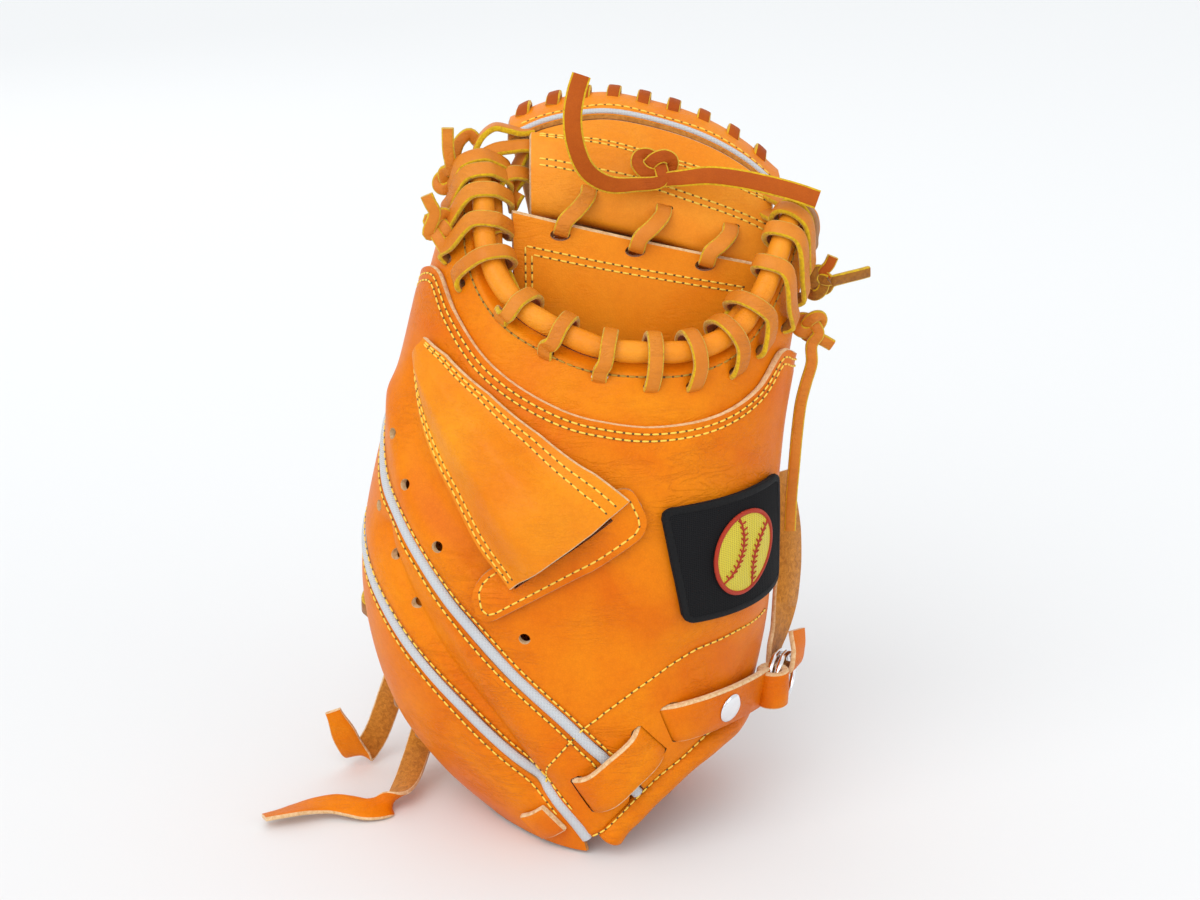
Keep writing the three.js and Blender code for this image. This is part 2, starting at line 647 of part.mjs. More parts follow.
// Web: lower panel, folded strap above it and the arched front that faces the pocket
const webBow = 3;
const webLowerPanel = (() => {
  const top = [[-32, 49.5, 256.5], [61.4, 52, 235]].map(place);
  const foot = [[-31.6, 46, 216.4], [54, 48, 206.2]].map(place);
  const face = (back) => (u, v) => {
    const p = foot[0].clone().lerp(foot[1], u).lerp(top[0].clone().lerp(top[1], u), v);
    p.y += back - webBow * Math.sin(Math.PI * u);
    return p;
  };
  return sheet(8, 4, face(0), face(3));
})();

// Sheets folded along X: rows of depth and drop below a top line. `topLine` gets x and the row's third value.
const foldedSheet = (rows, topLine, limits, bow, wall, nu) => {
  const count = rows.length - 1;
  const face = (back) => (u, v) => {
    const i = Math.round(v * count);
    const [from, to] = limits(i);
    const x = from + (to - from) * u;
    const height = ([, drop, reach = 0]) => topLine(x, reach) - drop;
    const before = rows[Math.max(i - 1, 0)];
    const after = rows[Math.min(i + 1, count)];
    const forth = after[0] - before[0];
    const down = height(before) - height(after);
    const size = Math.hypot(forth, down);
    const [y, , reach = 0] = rows[i];
    return vec(
      x, y - bow * (1 - reach) * Math.sin(Math.PI * u) + (back * down) / size,
      height(rows[i]) + (back * forth) / size,
    );
  };
  return sheet(nu, count, face(0), face(wall));
};

const webFrontTop = [[-37, 286], [-21, 293], [0, 296.5], [18, 294], [40, 287], [58, 277], [73, 264]];
const webFrontFold = [
  // depth, drop below the arched top
  [71.5, 1.5], [78, 0.4], [86, 0], [92, 0.4], [95.5, 4], [94, 20], [88, 42], [76, 64], [64, 80], [58, 92],
];
const webTopHeight = (x) => hermite(webFrontTop, 0, 1, x);

// The strap's upper edge rises to just under the leading edge of the arched front
const strapFold = [
  // depth, drop, share of the rise to the arched top
  [70.6, 4.9, 1], [68.6, 5, 0.5], [66, 5, 0], [62.5, 10], [59.5, 17], [57.4, 24], [56.4, 30], [57, 34.5],
  [60, 37], [65, 37], [69, 34],
];
const strapTop = (x) => 294 - 0.3 * (x + 24) - 0.0022 * (x - 22) ** 2;
const webStrap = foldedSheet(
  strapFold, (x, reach) => strapTop(x) + (webTopHeight(x) - strapTop(x)) * reach, () => [-27, 68],
  webBow, 3.4, 6,
);
const webFront = foldedSheet(
  webFrontFold, webTopHeight,
  (i) => [-36 + 10 * smooth(i, 4, 7), 72 - 30 * smooth(i, 4, 7)], 0, -3, 9,
);

const weltDepth = 74;
const webWelt = (() => {
  const points = Array.from({ length: 9 }, (_, i) => {
    const x = -32 + (100 * i) / 8;
    return vec(x, weltDepth, webTopHeight(x) + 0.4);
  });
  return sweep(stationsThrough(points, vec(0, 1, 0), 10), flatProfile(3.2, 1.2));
})();

// Lace bumps along the arched top of the web, joined by a run on its far side
const webBumps = [-30, -18, -6, 6, 18, 30, 42, 54, 65];
const webRimLoops = webBumps.map((x) => {
  const top = webTopHeight(x);
  const slope = (webTopHeight(x + 2) - webTopHeight(x - 2)) / 4;
  return strap(
    [[x, 86, top + 1.7], [x, 92, top + 2.1], [x, 96.6, top - 0.6], [x, 97.4, top - 7]].map(place),
    vec(1, 0, slope).normalize(), 5.6, 2.2, 3,
  );
});
const webRimRun = strap(webBumps.map((x) => vec(x, 97.4, webTopHeight(x) - 7)), vec(0, 0, 1), 4.6, 2.2, 8);

// Ties that hold the folded strap to the lower panel
const tieHoles = [[-13, 246.5], [16, 240], [41, 234.5]];
const tieTops = [[-7, 265], [21, 257.5], [47, 250.5]];
const bowAt = (x) => webBow * Math.sin(Math.PI * THREE.MathUtils.clamp((x + 30) / 94, 0, 1));
const ties = tieHoles.map(([x, z], i) => {
  const [tx, tz] = tieTops[i];
  const y = 51.5 + (2.5 * (x + 34)) / 96 - bowAt(x);
  const ty = 58 - bowAt(tx);
  return closedStrap(
    [[x, y + 1, z - 1], [x, y - 4.4, z + 0.5], [x + 1.5, y - 5, z + 5],
      [(x + tx) / 2 + 1, y - 3, (z + tz) / 2 + 2], [tx - 0.5, ty - 3.6, tz - 1.5], [tx, ty + 1, tz + 0.6],
      [tx, ty + 8, tz - 2], [(x + tx) / 2, ty + 14, (z + tz) / 2 + 1], [x, ty + 9, z - 6],
      [x, y + 6, z - 4]].map(place),
    vec(1, 0, -0.3).normalize(), 6.4, 2.3, 10,
  );
});

// Lace knots: two crossed turns round a core, with the ends led off as tails
function turn(middle, axis, radius, width, thick) {
  const first = Math.abs(axis.z) > 0.9 ? vec(1, 0, 0) : vec(0, 0, 1);
  const a = axis.clone().cross(first).normalize();
  const b = axis.clone().cross(a).normalize();
  const stations = Array.from({ length: 7 }, (_, i) => {
    const t = (2 * Math.PI * i) / 7;
    return {
      at: middle.clone().addScaledVector(a, radius * Math.cos(t)).addScaledVector(b, radius * Math.sin(t)),
      across: axis,
    };
  });
  return sweep(stations, flatProfile(width, thick), true);
}
function knot(middle, axis, tails) {
  const core = new THREE.IcosahedronGeometry(5.9, 0).translate(...middle.toArray());
  return join([core, turn(middle, axis, 4.6, 6, laceThick), ...tails]);
}
function smallKnot(middle, tails) {
  const core = new THREE.SphereGeometry(6.2, 7, 4);
  core.scale(1, 0.85, 1).translate(...middle.toArray());
  return join([core, ...tails]);
}
const tail = (rows, across, width, steps) =>
  strap(rows.map(place), across, width, laceThick, steps).body;

const webKnot = knot(vec(21, 54, 273.8), vec(1, 0, -0.2).normalize(), [
  tail([[21, 54, 273.8], [10, 49, 270.5], [0, 42, 272], [-7, 36, 279.5], [-10, 33, 291], [-10, 34, 302],
    [-7, 38, 313]], vec(0.8, 0, 0.5), laceWidth, 9),
  tail([[21, 54, 273.8], [32, 51, 274.5], [46, 47, 273.5], [60, 44, 271], [74, 43, 267.5], [84, 42, 264]],
    vec(0, 0.25, 1), laceWidth, 5),
]);
const knots = {
  finger_knot_upper: smallKnot(vec(-63, 60.4, 277.6), [
    tail([[-63, 60.4, 277.6], [-66, 57, 283], [-68, 56, 289], [-69, 57, 297]], vec(0.3, 1, 0), 6, 3),
    tail([[-63, 60.4, 277.6], [-61, 66, 284], [-58, 70, 289]], vec(0.3, 1, 0), 6, 3),
  ]),
  finger_knot_lower: smallKnot(vec(-68, 48, 251.4), [
    tail([[-68, 48, 251.4], [-73, 42, 256], [-74, 39, 263]], vec(0.4, 1, 0), 6, 3),
    tail([[-68, 48, 251.4], [-71, 40, 247], [-68, 36, 241]], vec(0.4, 1, 0), 6, 3),
  ]),
  thumb_knot_upper: smallKnot(vec(93.8, 62, 227), [
    tail([[93.8, 62, 227], [96, 61, 233], [97, 62, 240]], vec(0.3, 1, 0), 5.5, 3),
    tail([[93.8, 62, 227], [100, 65, 227], [106, 70, 228], [113, 76, 227]], vec(0.3, 1, 0.2), 5.5, 3),
  ]),
  thumb_knot_lower: smallKnot(vec(84.2, 57.4, 205.6), [
    tail([[84.2, 57.4, 205.6], [92, 55, 206], [97, 55, 201]], vec(0.3, 1, 0), 5.5, 3),
    tail([[84.2, 57.4, 205.6], [86, 52, 197], [84, 52, 188], [82.5, 52, 178], [81, 52, 160], [79.5, 52, 140],
      [79, 52, 122]], vec(0.1, 1, 0), 5.5, 6),
  ]),
};

// Lacing between the web and the rolled edges of the finger side and of the thumb side
function rung([start, onRoll, wideAngle, endZ]) {
  const { axis, spot } = rollFrame(onRoll);
  const side = Math.sign(wideAngle - onRoll);
  const bothRolls = start ? [place(start), spot(-innerReach - 2, 2), spot(-innerReach + 3, wrapReach - 1.6)]
    : [spot(-wrapReach + 0.2, -4.5), spot(-wrapReach + 0.4, 2.5)];
  const points = [
    ...bothRolls, spot(-2.5, wrapReach), spot(2.4, wrapReach - 0.6), spot(wrapReach + 0.3, -1),
    onBack(onRoll + side * 9, rollHeight(onRoll) - 10, -2.8), onBack(wideAngle, endZ, -2.8),
  ];
  const over = axis.z < 0 ? axis.clone().negate() : axis;
  const across = points.map((_, i) => (i === points.length - 1 ? vec(0, 0.4, 1) : over));
  return strap(points, across, 6, laceThick, points.length);
}
const fingerRungs = [
  [[-28.8, 72, 278], 160, 179, 262],
  [[-28.8, 66, 270], 153, 179, 254],
  [[-32, 62, 262], 146.5, 179, 246],
  [[-38.6, 58, 250], 140.5, 179, 238],
].map(rung);
const thumbRungs = [
  [null, 15, -2, 238],
  [null, 22.5, -2, 229.5],
  [null, 30, -2, 221],
  [null, 38, -2, 213.5],
].map(rung);
const fingerRun = backStrap([[177, 266, -2.8], [177, 250, -2.8], [177, 234.5, -2.8]], 3.6, laceThick + 1, 2);
const thumbRun = backStrap([[0.6, 241, -2.8], [0.6, 226, -2.8], [0.6, 211.4, -2.8]], 4, laceThick + 1.2, 2);

// Whip lacing over the rim of the back panels, joined by a run in the groove beside it
function rimLoops(edge, towards, heights) {
  return heights.map((z) => {
    const rows = [
      [edge - towards * 6, z - 1, -1.9], [edge - towards * 2, z, -2],
      [edge + towards * 1.2, z + 0.6, -1.4], [edge + towards * 3.6, z + 1, 0.9],
    ];
    return strap(rows.map(([a, h, inset]) => onBack(a, h, inset)), vec(0, 0, 1), 5.6, 2, 3);
  });
}
const spread = (from, to, count) =>
  Array.from({ length: count }, (_, i) => from + ((to - from) * i) / (count - 1));
const fingerRim = rimLoops(rimAngle, 1, spread(14, 200, 7));
const thumbRim = rimLoops(-30, -1, spread(52, 176, 5));
const rimRun = (edge, towards, from, to) =>
  backStrap(spread(from, to, 7).map((z) => [edge + towards * 3.8, z, 1]), 4, 2, 9);
const fingerRimRun = rimRun(rimAngle, 1, 14, 200);
const thumbRimRun = rimRun(-30, -1, 52, 176);

// Loose leather straps at the little finger side
const looseStraps = {
  loose_strap_short: strap(
    [[-86, 87.1, 54], [-88.6, 88.6, 46], [-94, 91, 36], [-101, 90, 23], [-104, 87, 10], [-107, 84, 4],
      [-113, 81, 9], [-118, 80, 19], [-121, 80, 28]].map(place),
    [vec(0.3, 1, 0), vec(0.3, 1, 0), vec(0.3, 1, 0), vec(0.2, 1, 0), vec(0, 1, 0), vec(0, 1, 0),
      vec(0, 1, 0.2), vec(0, 1, 0.3), vec(0, 1, 0.3)],
    11, 1.8, 12,
  ),
  loose_strap_long: strap(
    [[-76.6, 74.5, 20], [-80, 60, 19], [-84, 46, 14], [-87, 36, 8], [-92, 35, 3.4], [-102, 39, 2.2],
      [-114, 42, 2.2], [-128, 36, 4.4], [-143, 29, 5]].map(place),
    [vec(1, 0.2, 0.4), vec(1, 0.2, 0.2), vec(1, 0.3, 0), vec(0.9, 0.5, 0.2), vec(0.3, 1, 0.2), vec(0, 1, 0),
      vec(0, 1, 0.1), vec(0, 1, 0.4), vec(0, 1, 0.2)],
    11, 1.8, 13,
  ),
};

const clearOf = (...groups) => groups.flat().map((one) => one.clear);
const bodiesOf = (...groups) => groups.flat().map((one) => one.body);
const holes = (rows) => rows.map(([angle, z]) => punch(angle, z, holeRadius));

// Slot through the yoke for a wrap of lace
function slot(angle, z) {
  const box = new THREE.BoxGeometry(laceWidth + 2 * seat + 0.6, 16, laceThick + 2 * seat + 5.6);
  const out = backNormal(angle, z);
  const wide = vec(0, 0, 1).cross(out).normalize();
  box.applyMatrix4(new THREE.Matrix4().makeBasis(wide, out, wide.clone().cross(out)));
  const at = onBack(angle, z);
  return box.translate(at.x, at.y, at.z);
}

add("hand_panel", cut(handPanel, [...holes(handHoles), slit, wristBelt.clear]), tan);
add("ring_finger_panel", cut(ringPanel, [...holes(ringHoles), wristBelt.clear]), tan);
add("little_finger_panel", littlePanel, tan);
add("crotch_yoke", cut(yoke, wraps.map(([angle, z]) => slot(angle, z + 0.6))), tan);
add("palm_pad", palmPad, palmTan);
add("crotch_roll", crotchRoll, tan);
add("inner_roll", innerRoll, tan);
add("crotch_lace", join(bodiesOf(crotchWraps, crotchRun)), laceTan);
add("welt_long", longWelt.body, silver);
add("welt_short", shortWelt.body, silver);
add("wrist_roll", wristRoll(wristRollRadius), tan);
add("finger_hood", fingerHood, tan);
add("slot_strip", cut(slotStrip, [slit]), tan);
add("back_patch", backPatch, black);
add("patch_badge", badge, gold);
add("wrist_belt", cut(join([wristBelt.body, beltFold]), ringRoom), tan);
add("heel_tab", heelTab.body, tan);
add("belt_rivet", rivet, chrome);
add("buckle_ring_near", buckleRing(ringShifts[1], ringWire), chrome);
add("buckle_ring_far", buckleRing(ringShifts[0], ringWire), chrome);
add("thumb_strap", thumbStrap.body, tan);
add("web_lower_panel", cut(webLowerPanel, clearOf(ties)), tan);
add("web_strap", cut(webStrap, clearOf(ties)), tan);
add("web_front", webFront, tan);
add("web_welt", webWelt, silver);
add("web_rim_lace", join(bodiesOf(webRimLoops, webRimRun)), laceTan);
ties.forEach((tie, i) => add(`web_tie_${i + 1}`, tie.body, laceTan));
add("web_knot", webKnot, laceTan);
add("finger_web_lace", join(bodiesOf(fingerRungs, fingerRun)), laceTan);
add("thumb_web_lace", join(bodiesOf(thumbRungs, thumbRun)), laceTan);
for (const [name, geometry] of Object.entries(knots)) add(name, geometry, laceTan);
add("finger_rim_lace", join(bodiesOf(fingerRim, fingerRimRun)), laceTan);
add("thumb_rim_lace", join(bodiesOf(thumbRim, thumbRimRun)), laceTan);
for (const [name, strip] of Object.entries(looseStraps)) add(name, strip.body, suede);

mitt.position.y = -standBack;
export default mitt;
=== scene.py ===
import bpy
import math
import numpy as np
from mathutils import Matrix


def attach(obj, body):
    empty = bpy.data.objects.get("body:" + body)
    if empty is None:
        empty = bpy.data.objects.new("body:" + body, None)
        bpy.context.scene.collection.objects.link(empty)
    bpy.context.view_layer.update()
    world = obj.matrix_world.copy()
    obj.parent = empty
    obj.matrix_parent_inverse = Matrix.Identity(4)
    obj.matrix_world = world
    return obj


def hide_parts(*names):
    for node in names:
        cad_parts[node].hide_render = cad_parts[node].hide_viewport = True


# Leather catcher's mitt standing on its heel. Shapes are worked out in millimetres on the mitt's own
# curved back, then moved into the frame's metres.
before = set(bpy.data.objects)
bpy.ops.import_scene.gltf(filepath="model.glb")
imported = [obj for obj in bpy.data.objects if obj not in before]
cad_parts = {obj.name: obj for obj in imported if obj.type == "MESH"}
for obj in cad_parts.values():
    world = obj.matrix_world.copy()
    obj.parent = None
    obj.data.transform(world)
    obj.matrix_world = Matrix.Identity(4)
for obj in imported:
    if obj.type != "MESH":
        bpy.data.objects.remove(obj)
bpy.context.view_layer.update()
print("frame loaded")

mitt = {
    "standBack": 55.0,      # the frame's origin lies this far behind the lowest point of the back
    "leather": 2.6,         # wall of the back panels
    "lift": 0.9,            # gap under pieces laid on the back
    "seat": 0.35,           # gap between pieces that touch
    "rimAngle": 210.0,      # where the back panels end on the finger side
    "thumbRim": -30.0,      # and on the thumb side
    "laceWidth": 7.0,
    "laceThick": 2.4,
    "perDegree": 1.25,      # a degree is about this many millimetres of the back
}

photoView = {
    "camera": (0.0, -0.8917, 0.4811),
    "target": (0.0, -0.015, 0.162),
    "lens": 70.0,
}


# Small vector helpers, all on numpy arrays whose last axis is x, y, z
def vec(*xyz):
    return np.array(xyz, float)


def unit(v):
    v = np.asarray(v, float)
    return v / np.maximum(np.linalg.norm(v, axis=-1, keepdims=True), 1e-9)


def sideAndUp(out):
    # Level side and upward side of a face that looks along out
    side = unit(np.cross(vec(0, 0, 1), out))
    return side, np.cross(out, side)


def smooth(x, low, high):
    t = np.clip((np.asarray(x, float) - low) / (high - low), 0, 1)
    return t * t * (3 - 2 * t)


def hermite(rows, at, value=1):
    table = np.array(rows, float)
    x, y = table[:, 0], table[:, value]
    at = np.asarray(at, float)
    last = len(x) - 1
    low = np.maximum(np.arange(last + 1) - 1, 0)
    high = np.minimum(np.arange(last + 1) + 1, last)
    slope = (y[high] - y[low]) / (x[high] - x[low])
    i = np.clip(np.searchsorted(x, at, side="right") - 1, 0, last - 1)
    width = x[i + 1] - x[i]
    t = (at - x[i]) / width
    c = np.clip(t, 0, 1)
    inside = ((2 * c**3 - 3 * c**2 + 1) * y[i] + (c**3 - 2 * c**2 + c) * width * slope[i]
              + (3 * c**2 - 2 * c**3) * y[i + 1] + (c**3 - c**2) * width * slope[i + 1])
    before = np.where(t < 0, y[0] + slope[0] * width * t, inside)
    return np.where(t > 1, y[last] + slope[last] * width * (t - 1), before)


def catmull(points, steps, closed=False):
    # Centripetal spline through control points, read at even steps of its own parameter
    p = [vec(*q) for q in points]
    count = len(p)
    spans = count if closed else count - 1
    where = np.linspace(0, spans, steps + (0 if closed else 1), endpoint=not closed)
    out = []
    for t in where:
        i = min(int(t), spans - 1)
        f = t - i
        if closed:
            a, b, c, d = (p[(i + k) % count] for k in (-1, 0, 1, 2))
        else:
            b, c = p[i], p[i + 1]
            a = p[i - 1] if i > 0 else 2 * b - c
            d = p[i + 2] if i + 2 < count else 2 * c - b
        ab, bc, cd = (max(np.linalg.norm(v), 1e-6) ** 0.5 for v in (b - a, c - b, d - c))
        m1 = (b - a) / ab - (c - a) / (ab + bc) + (c - b) / bc
        m2 = (c - b) / bc - (d - b) / (bc + cd) + (d - c) / cd
        m1, m2 = m1 * bc, m2 * bc
        out.append((2 * b - 2 * c + m1 + m2) * f**3 + (-3 * b + 3 * c - 2 * m1 - m2) * f**2 + m1 * f + b)
    return np.array(out)


def evenly(points, pitch):
    # The same line read at even lengths
    points = np.asarray(points, float)
    run = np.concatenate([[0], np.cumsum(np.linalg.norm(np.diff(points, axis=0), axis=1))])
    count = max(int(round(run[-1] / pitch)), 1)
    where = np.linspace(0, run[-1], count + 1)
    return np.stack([np.interp(where, run, points[:, k]) for k in range(points.shape[1])], axis=1)


# The mitt's back: level sections, looking down. The angle runs from the thumb rim over the thumb side
# (0), the ridge of the hand (90) and the little finger side (180) to the rim there.
sections = {
    "height": [0, 20, 45, 85, 125, 165, 205, 240, 275],
    "left": [-50, -71, -87, -98, -97, -88, -78, -68, -54],
    "right": [44, 54, 63, 70, 72, 75, 80, 83, 78],
    "ridge": [2, 2, 1, -2, -4, -4, 2, 10, 14],
    "back": [0, -3, -6, -9, -10, -5, 5, 20, 38],
    "mid": [56, 58, 60, 62, 62, 62, 62, 64, 68],
    "rim": [92, 94, 97, 100, 102, 102, 100, 97, 92],
    "power": [1.5, 1.7, 1.9, 2.05, 2.15, 2.2, 2.2, 2.2, 2.2],
}

seams = {
    "crotchEdge": [(-30, 214), (-15, 226), (0, 240), (12, 248), (22, 249), (31, 243), (38, 233), (45, 222),
                   (53, 213), (66, 208), (80, 208), (92, 210), (106, 217), (118, 224), (129, 234), (138, 246),
                   (146, 258), (156, 267), (168, 267), (180, 262), (195, 250), (210, 237)],
    "yokeSeam": [(-30, 186), (0, 196), (15, 201), (28, 205), (39, 194), (55, 187), (74, 185), (87, 187),
                 (99, 192), (121, 206), (141, 223), (157, 235), (175, 232), (195, 220), (210, 210)],
    "ringWelt": [(60, 17), (72, 28), (91, 50), (99, 65), (108, 82), (116, 98), (127, 117), (142, 137),
                 (159, 151), (176, 165), (195, 176), (210, 183)],
    "littleWelt": [(97, 1), (101, 8), (105, 18), (110, 30), (119, 47), (129, 67), (140, 85), (153, 102),
                   (171, 117), (190, 128), (210, 136)],
    "wristEdge": [(-30, 40), (-10, 47), (10, 50), (31, 48), (45, 46), (58, 37), (68, 30), (77, 19), (88, 9),
                  (95, 4), (100, 2), (120, 1.5), (210, 1.5)],
    "rollLine": [(13, 254), (22, 254), (31, 248), (38, 238), (45, 227), (53, 218), (66, 213), (80, 213),
                 (92, 215), (106, 222), (118, 229), (129, 239), (138, 251), (144, 262), (153, 271),
                 (163, 276)],
}

# Silver piping in the two seams of the back
piping = {"width": 4.7, "proud": 0.9}

# Valleys and ridges: depth, half width and line over angle and height
folds = [
    (-4.5, 8, [(111, 35), (117, 55), (124, 78), (131, 98), (140, 116), (153, 130)]),
    (-1.5, 2.4, [(111, 33), (114, 48), (119, 64), (128, 82), (136, 102), (146, 123), (154, 134)]),
    (2.2, 10, [(104, 45), (112, 66), (120, 90), (130, 107), (146, 125)]),
    (-3.5, 8, [(112, 128), (122, 143), (135, 158), (148, 176), (156, 196)]),
    (2.4, 8, [(118, 118), (128, 135), (144, 155), (157, 171), (172, 183)]),
    (-2.2, 14, [(30, 75), (60, 90), (80, 100)]),
]


def seam(name, angle):
    return hermite(seams[name], angle)


def section(name, z):
    return hermite(list(zip(sections["height"], sections[name])), z)


def smoothBack(angle, z):
    angle, z = np.broadcast_arrays(np.asarray(angle, float), np.asarray(z, float))
    s = {name: section(name, z) for name in ("left", "right", "ridge", "back", "mid", "rim", "power")}
    c, n = np.cos(np.radians(angle)), np.sin(np.radians(angle))
    reach = np.where(c >= 0, s["right"] - s["ridge"], s["ridge"] - s["left"])
    k = 2 / s["power"]
    up = n >= 0
    x = np.where(up, s["ridge"] + reach * np.sign(c) * np.abs(c) ** k, s["ridge"] + reach * c)
    y = np.where(up, s["mid"] - (s["mid"] - s["back"]) * np.maximum(n, 0) ** k,
                 s["mid"] - (s["rim"] - s["mid"]) * n / 0.5)
    return np.stack([x, y, z], axis=-1)


def backNormal(angle, z):
    across = smoothBack(angle - 2, z) - smoothBack(angle + 2, z)
    up = smoothBack(angle, z + 3) - smoothBack(angle, z - 3)
    return unit(np.cross(across, up))


def nearestTo(line, angle, z):
    # Distance in millimetres to a line of angle and height
    scale = mitt["perDegree"]
    nearest = np.full(np.broadcast(angle, z).shape, 1e9)
    for (a0, z0), (a1, z1) in zip(line[:-1], line[1:]):
        ax, az = (a1 - a0) * scale, z1 - z0
        px, pz = (angle - a0) * scale, z - z0
        t = np.clip((px * ax + pz * az) / (ax * ax + az * az), 0, 1)
        nearest = np.minimum(nearest, np.hypot(px - t * ax, pz - t * az))
    return nearest


def foldHeight(angle, z):
    return sum(depth * np.exp(-((nearestTo(line, angle, z) / half) ** 2)) for depth, half, line in folds)


def onBack(angle, z, inset=0.0):
    angle, z = np.asarray(angle, float), np.asarray(z, float)
    rise = foldHeight(angle, z) - inset
    return smoothBack(angle, z) + backNormal(angle, z) * np.asarray(rise)[..., None]


def weltShift(name, angle):
    a, b = smoothBack(angle - 2, seam(name, angle - 2)), smoothBack(angle + 2, seam(name, angle + 2))
    rise = (b[..., 2] - a[..., 2]) / np.hypot(b[..., 0] - a[..., 0], b[..., 1] - a[..., 1])
    steep = 0.2 * (1 - smooth(angle, 114, 132))
    return (piping["width"] / 2 + mitt["seat"] + steep) * np.sqrt(1 + rise**2)


# Shader groups
def shaderGroup(name, size, outputs):
    group = bpy.data.node_groups.new(name, "ShaderNodeTree")
    group.interface.new_socket("Coordinate", in_out="INPUT", socket_type="NodeSocketVector")
    group.interface.new_socket("Size", in_out="INPUT", socket_type="NodeSocketFloat").default_value = size
    for label in outputs:
        group.interface.new_socket(label, in_out="OUTPUT", socket_type="NodeSocketFloat")
    return group, group.nodes.new("NodeGroupInput"), group.nodes.new("NodeGroupOutput")


def link(tree, a, b):
    tree.links.new(a, b)


def mathNode(tree, kind, a, b=None):
    node = tree.nodes.new("ShaderNodeMath")
    node.operation = kind
    for socket, value in zip(node.inputs, (a, b)):
        if value is None:
            continue
        if isinstance(value, (int, float)):
            socket.default_value = value
        else:
            link(tree, value, socket)
    return node.outputs[0]


def noiseNode(tree, coordinate, scale, detail, rough=0.55, distortion=0.0):
    node = tree.nodes.new("ShaderNodeTexNoise")
    node.inputs["Detail"].default_value = detail
    node.inputs["Roughness"].default_value = rough
    node.inputs["Distortion"].default_value = distortion
    if isinstance(scale, (int, float)):
        node.inputs["Scale"].default_value = scale
    else:
        link(tree, scale, node.inputs["Scale"])
    link(tree, coordinate, node.inputs["Vector"])
    return node.outputs["Fac"]


def rampNode(tree, value, stops):
    node = tree.nodes.new("ShaderNodeValToRGB")
    ramp = node.color_ramp
    while len(ramp.elements) < len(stops):
        ramp.elements.new(0.5)
    for element, (place, shade) in zip(ramp.elements, stops):
        element.position = place
        element.color = (*shade, 1) if isinstance(shade, tuple) else (shade, shade, shade, 1)
    link(tree, value, node.inputs[0])
    return node.outputs[0]


def mixColours(tree, factor, a, b):
    node = tree.nodes.new("ShaderNodeMix")
    node.data_type = "RGBA"
    for socket, value in ((node.inputs[0], factor), (node.inputs[6], a), (node.inputs[7], b)):
        if isinstance(value, (int, float)):
            socket.default_value = value
        elif isinstance(value, tuple):
            socket.default_value = (*value, 1)
        else:
            link(tree, value, socket)
    return node.outputs[2]


# Pebbled leather grain: small cells with soft valleys, and fine pores
def makeGrain():
    group, start, end = shaderGroup("leatherGrain", 900.0, ("Height", "Valleys"))
    cells = group.nodes.new("ShaderNodeTexVoronoi")
    cells.feature = "DISTANCE_TO_EDGE"
    bend = group.nodes.new("ShaderNodeTexNoise")
    bend.inputs["Scale"].default_value = 260
    bend.inputs["Detail"].default_value = 2
    link(group, start.outputs["Coordinate"], bend.inputs["Vector"])
    shift = group.nodes.new("ShaderNodeVectorMath")
    shift.operation = "MULTIPLY_ADD"
    shift.inputs[1].default_value = (0.0016, 0.0016, 0.0016)
    link(group, bend.outputs["Color"], shift.inputs[0])
    link(group, start.outputs["Coordinate"], shift.inputs[2])
    link(group, shift.outputs[0], cells.inputs["Vector"])
    link(group, start.outputs["Size"], cells.inputs["Scale"])
    valleys = rampNode(group, cells.outputs["Distance"], [(0.0, 0.0), (0.22, 1.0)])
    pores = noiseNode(group, start.outputs["Coordinate"], 2600.0, 2.0)
    height = mathNode(group, "MULTIPLY_ADD", valleys, 0.6)
    link(group, pores, height.node.inputs[2])
    link(group, height, end.inputs["Height"])
    link(group, valleys, end.inputs["Valleys"])
    return group


# Slow mottling of the dye and the burnish of handling
def makeMottle():
    group, start, end = shaderGroup("dyeMottle", 22.0, ("Cloud", "Fleck"))
    cloud = noiseNode(group, start.outputs["Coordinate"], start.outputs["Size"], 5.0, 0.55, 0.4)
    link(group, rampNode(group, cloud, [(0.3, 0.0), (0.72, 1.0)]), end.inputs["Cloud"])
    fleck = noiseNode(group, start.outputs["Coordinate"], 420.0, 3.0, 0.6)
    link(group, rampNode(group, fleck, [(0.42, 0.0), (0.75, 1.0)]), end.inputs["Fleck"])
    return group


# Break-in wrinkles: long soft creases that show in patches
def makeWrinkles():
    group, start, end = shaderGroup("softWrinkles", 120.0, ("Height",))
    stretch = group.nodes.new("ShaderNodeMapping")
    stretch.inputs["Rotation"].default_value = (0.2, 0.5, 0.35)
    stretch.inputs["Scale"].default_value = (0.45, 1.0, 1.7)
    link(group, start.outputs["Coordinate"], stretch.inputs["Vector"])
    lines = noiseNode(group, stretch.outputs[0], start.outputs["Size"], 5.0, 0.62, 1.1)
    ridges = mathNode(group, "ABSOLUTE", mathNode(group, "SUBTRACT", lines, 0.5))
    creases = rampNode(group, ridges, [(0.0, 0.0), (0.07, 1.0)])
    patches = noiseNode(group, start.outputs["Coordinate"], 30.0, 2.0)
    share = rampNode(group, patches, [(0.42, 0.0), (0.62, 1.0)])
    faded = mixColours(group, share, (1, 1, 1), creases)
    link(group, faded, end.inputs["Height"])
    return group


# Woven thread: two waves across each other
def makeWeave():
    group, start, end = shaderGroup("threadWeave", 900.0, ("Height",))
    waves = []
    for direction in ("X", "Z"):
        wave = group.nodes.new("ShaderNodeTexWave")
        wave.bands_direction = direction
        wave.inputs["Distortion"].default_value = 0.6
        link(group, start.outputs["Size"], wave.inputs["Scale"])
        link(group, start.outputs["Coordinate"], wave.inputs["Vector"])
        waves.append(wave.outputs["Fac"])
    link(group, mathNode(group, "MAXIMUM", waves[0], waves[1]), end.inputs["Height"])
    return group


grainGroup = makeGrain()
mottleGroup = makeMottle()
wrinkleGroup = makeWrinkles()
weaveGroup = makeWeave()
print("shader groups made")


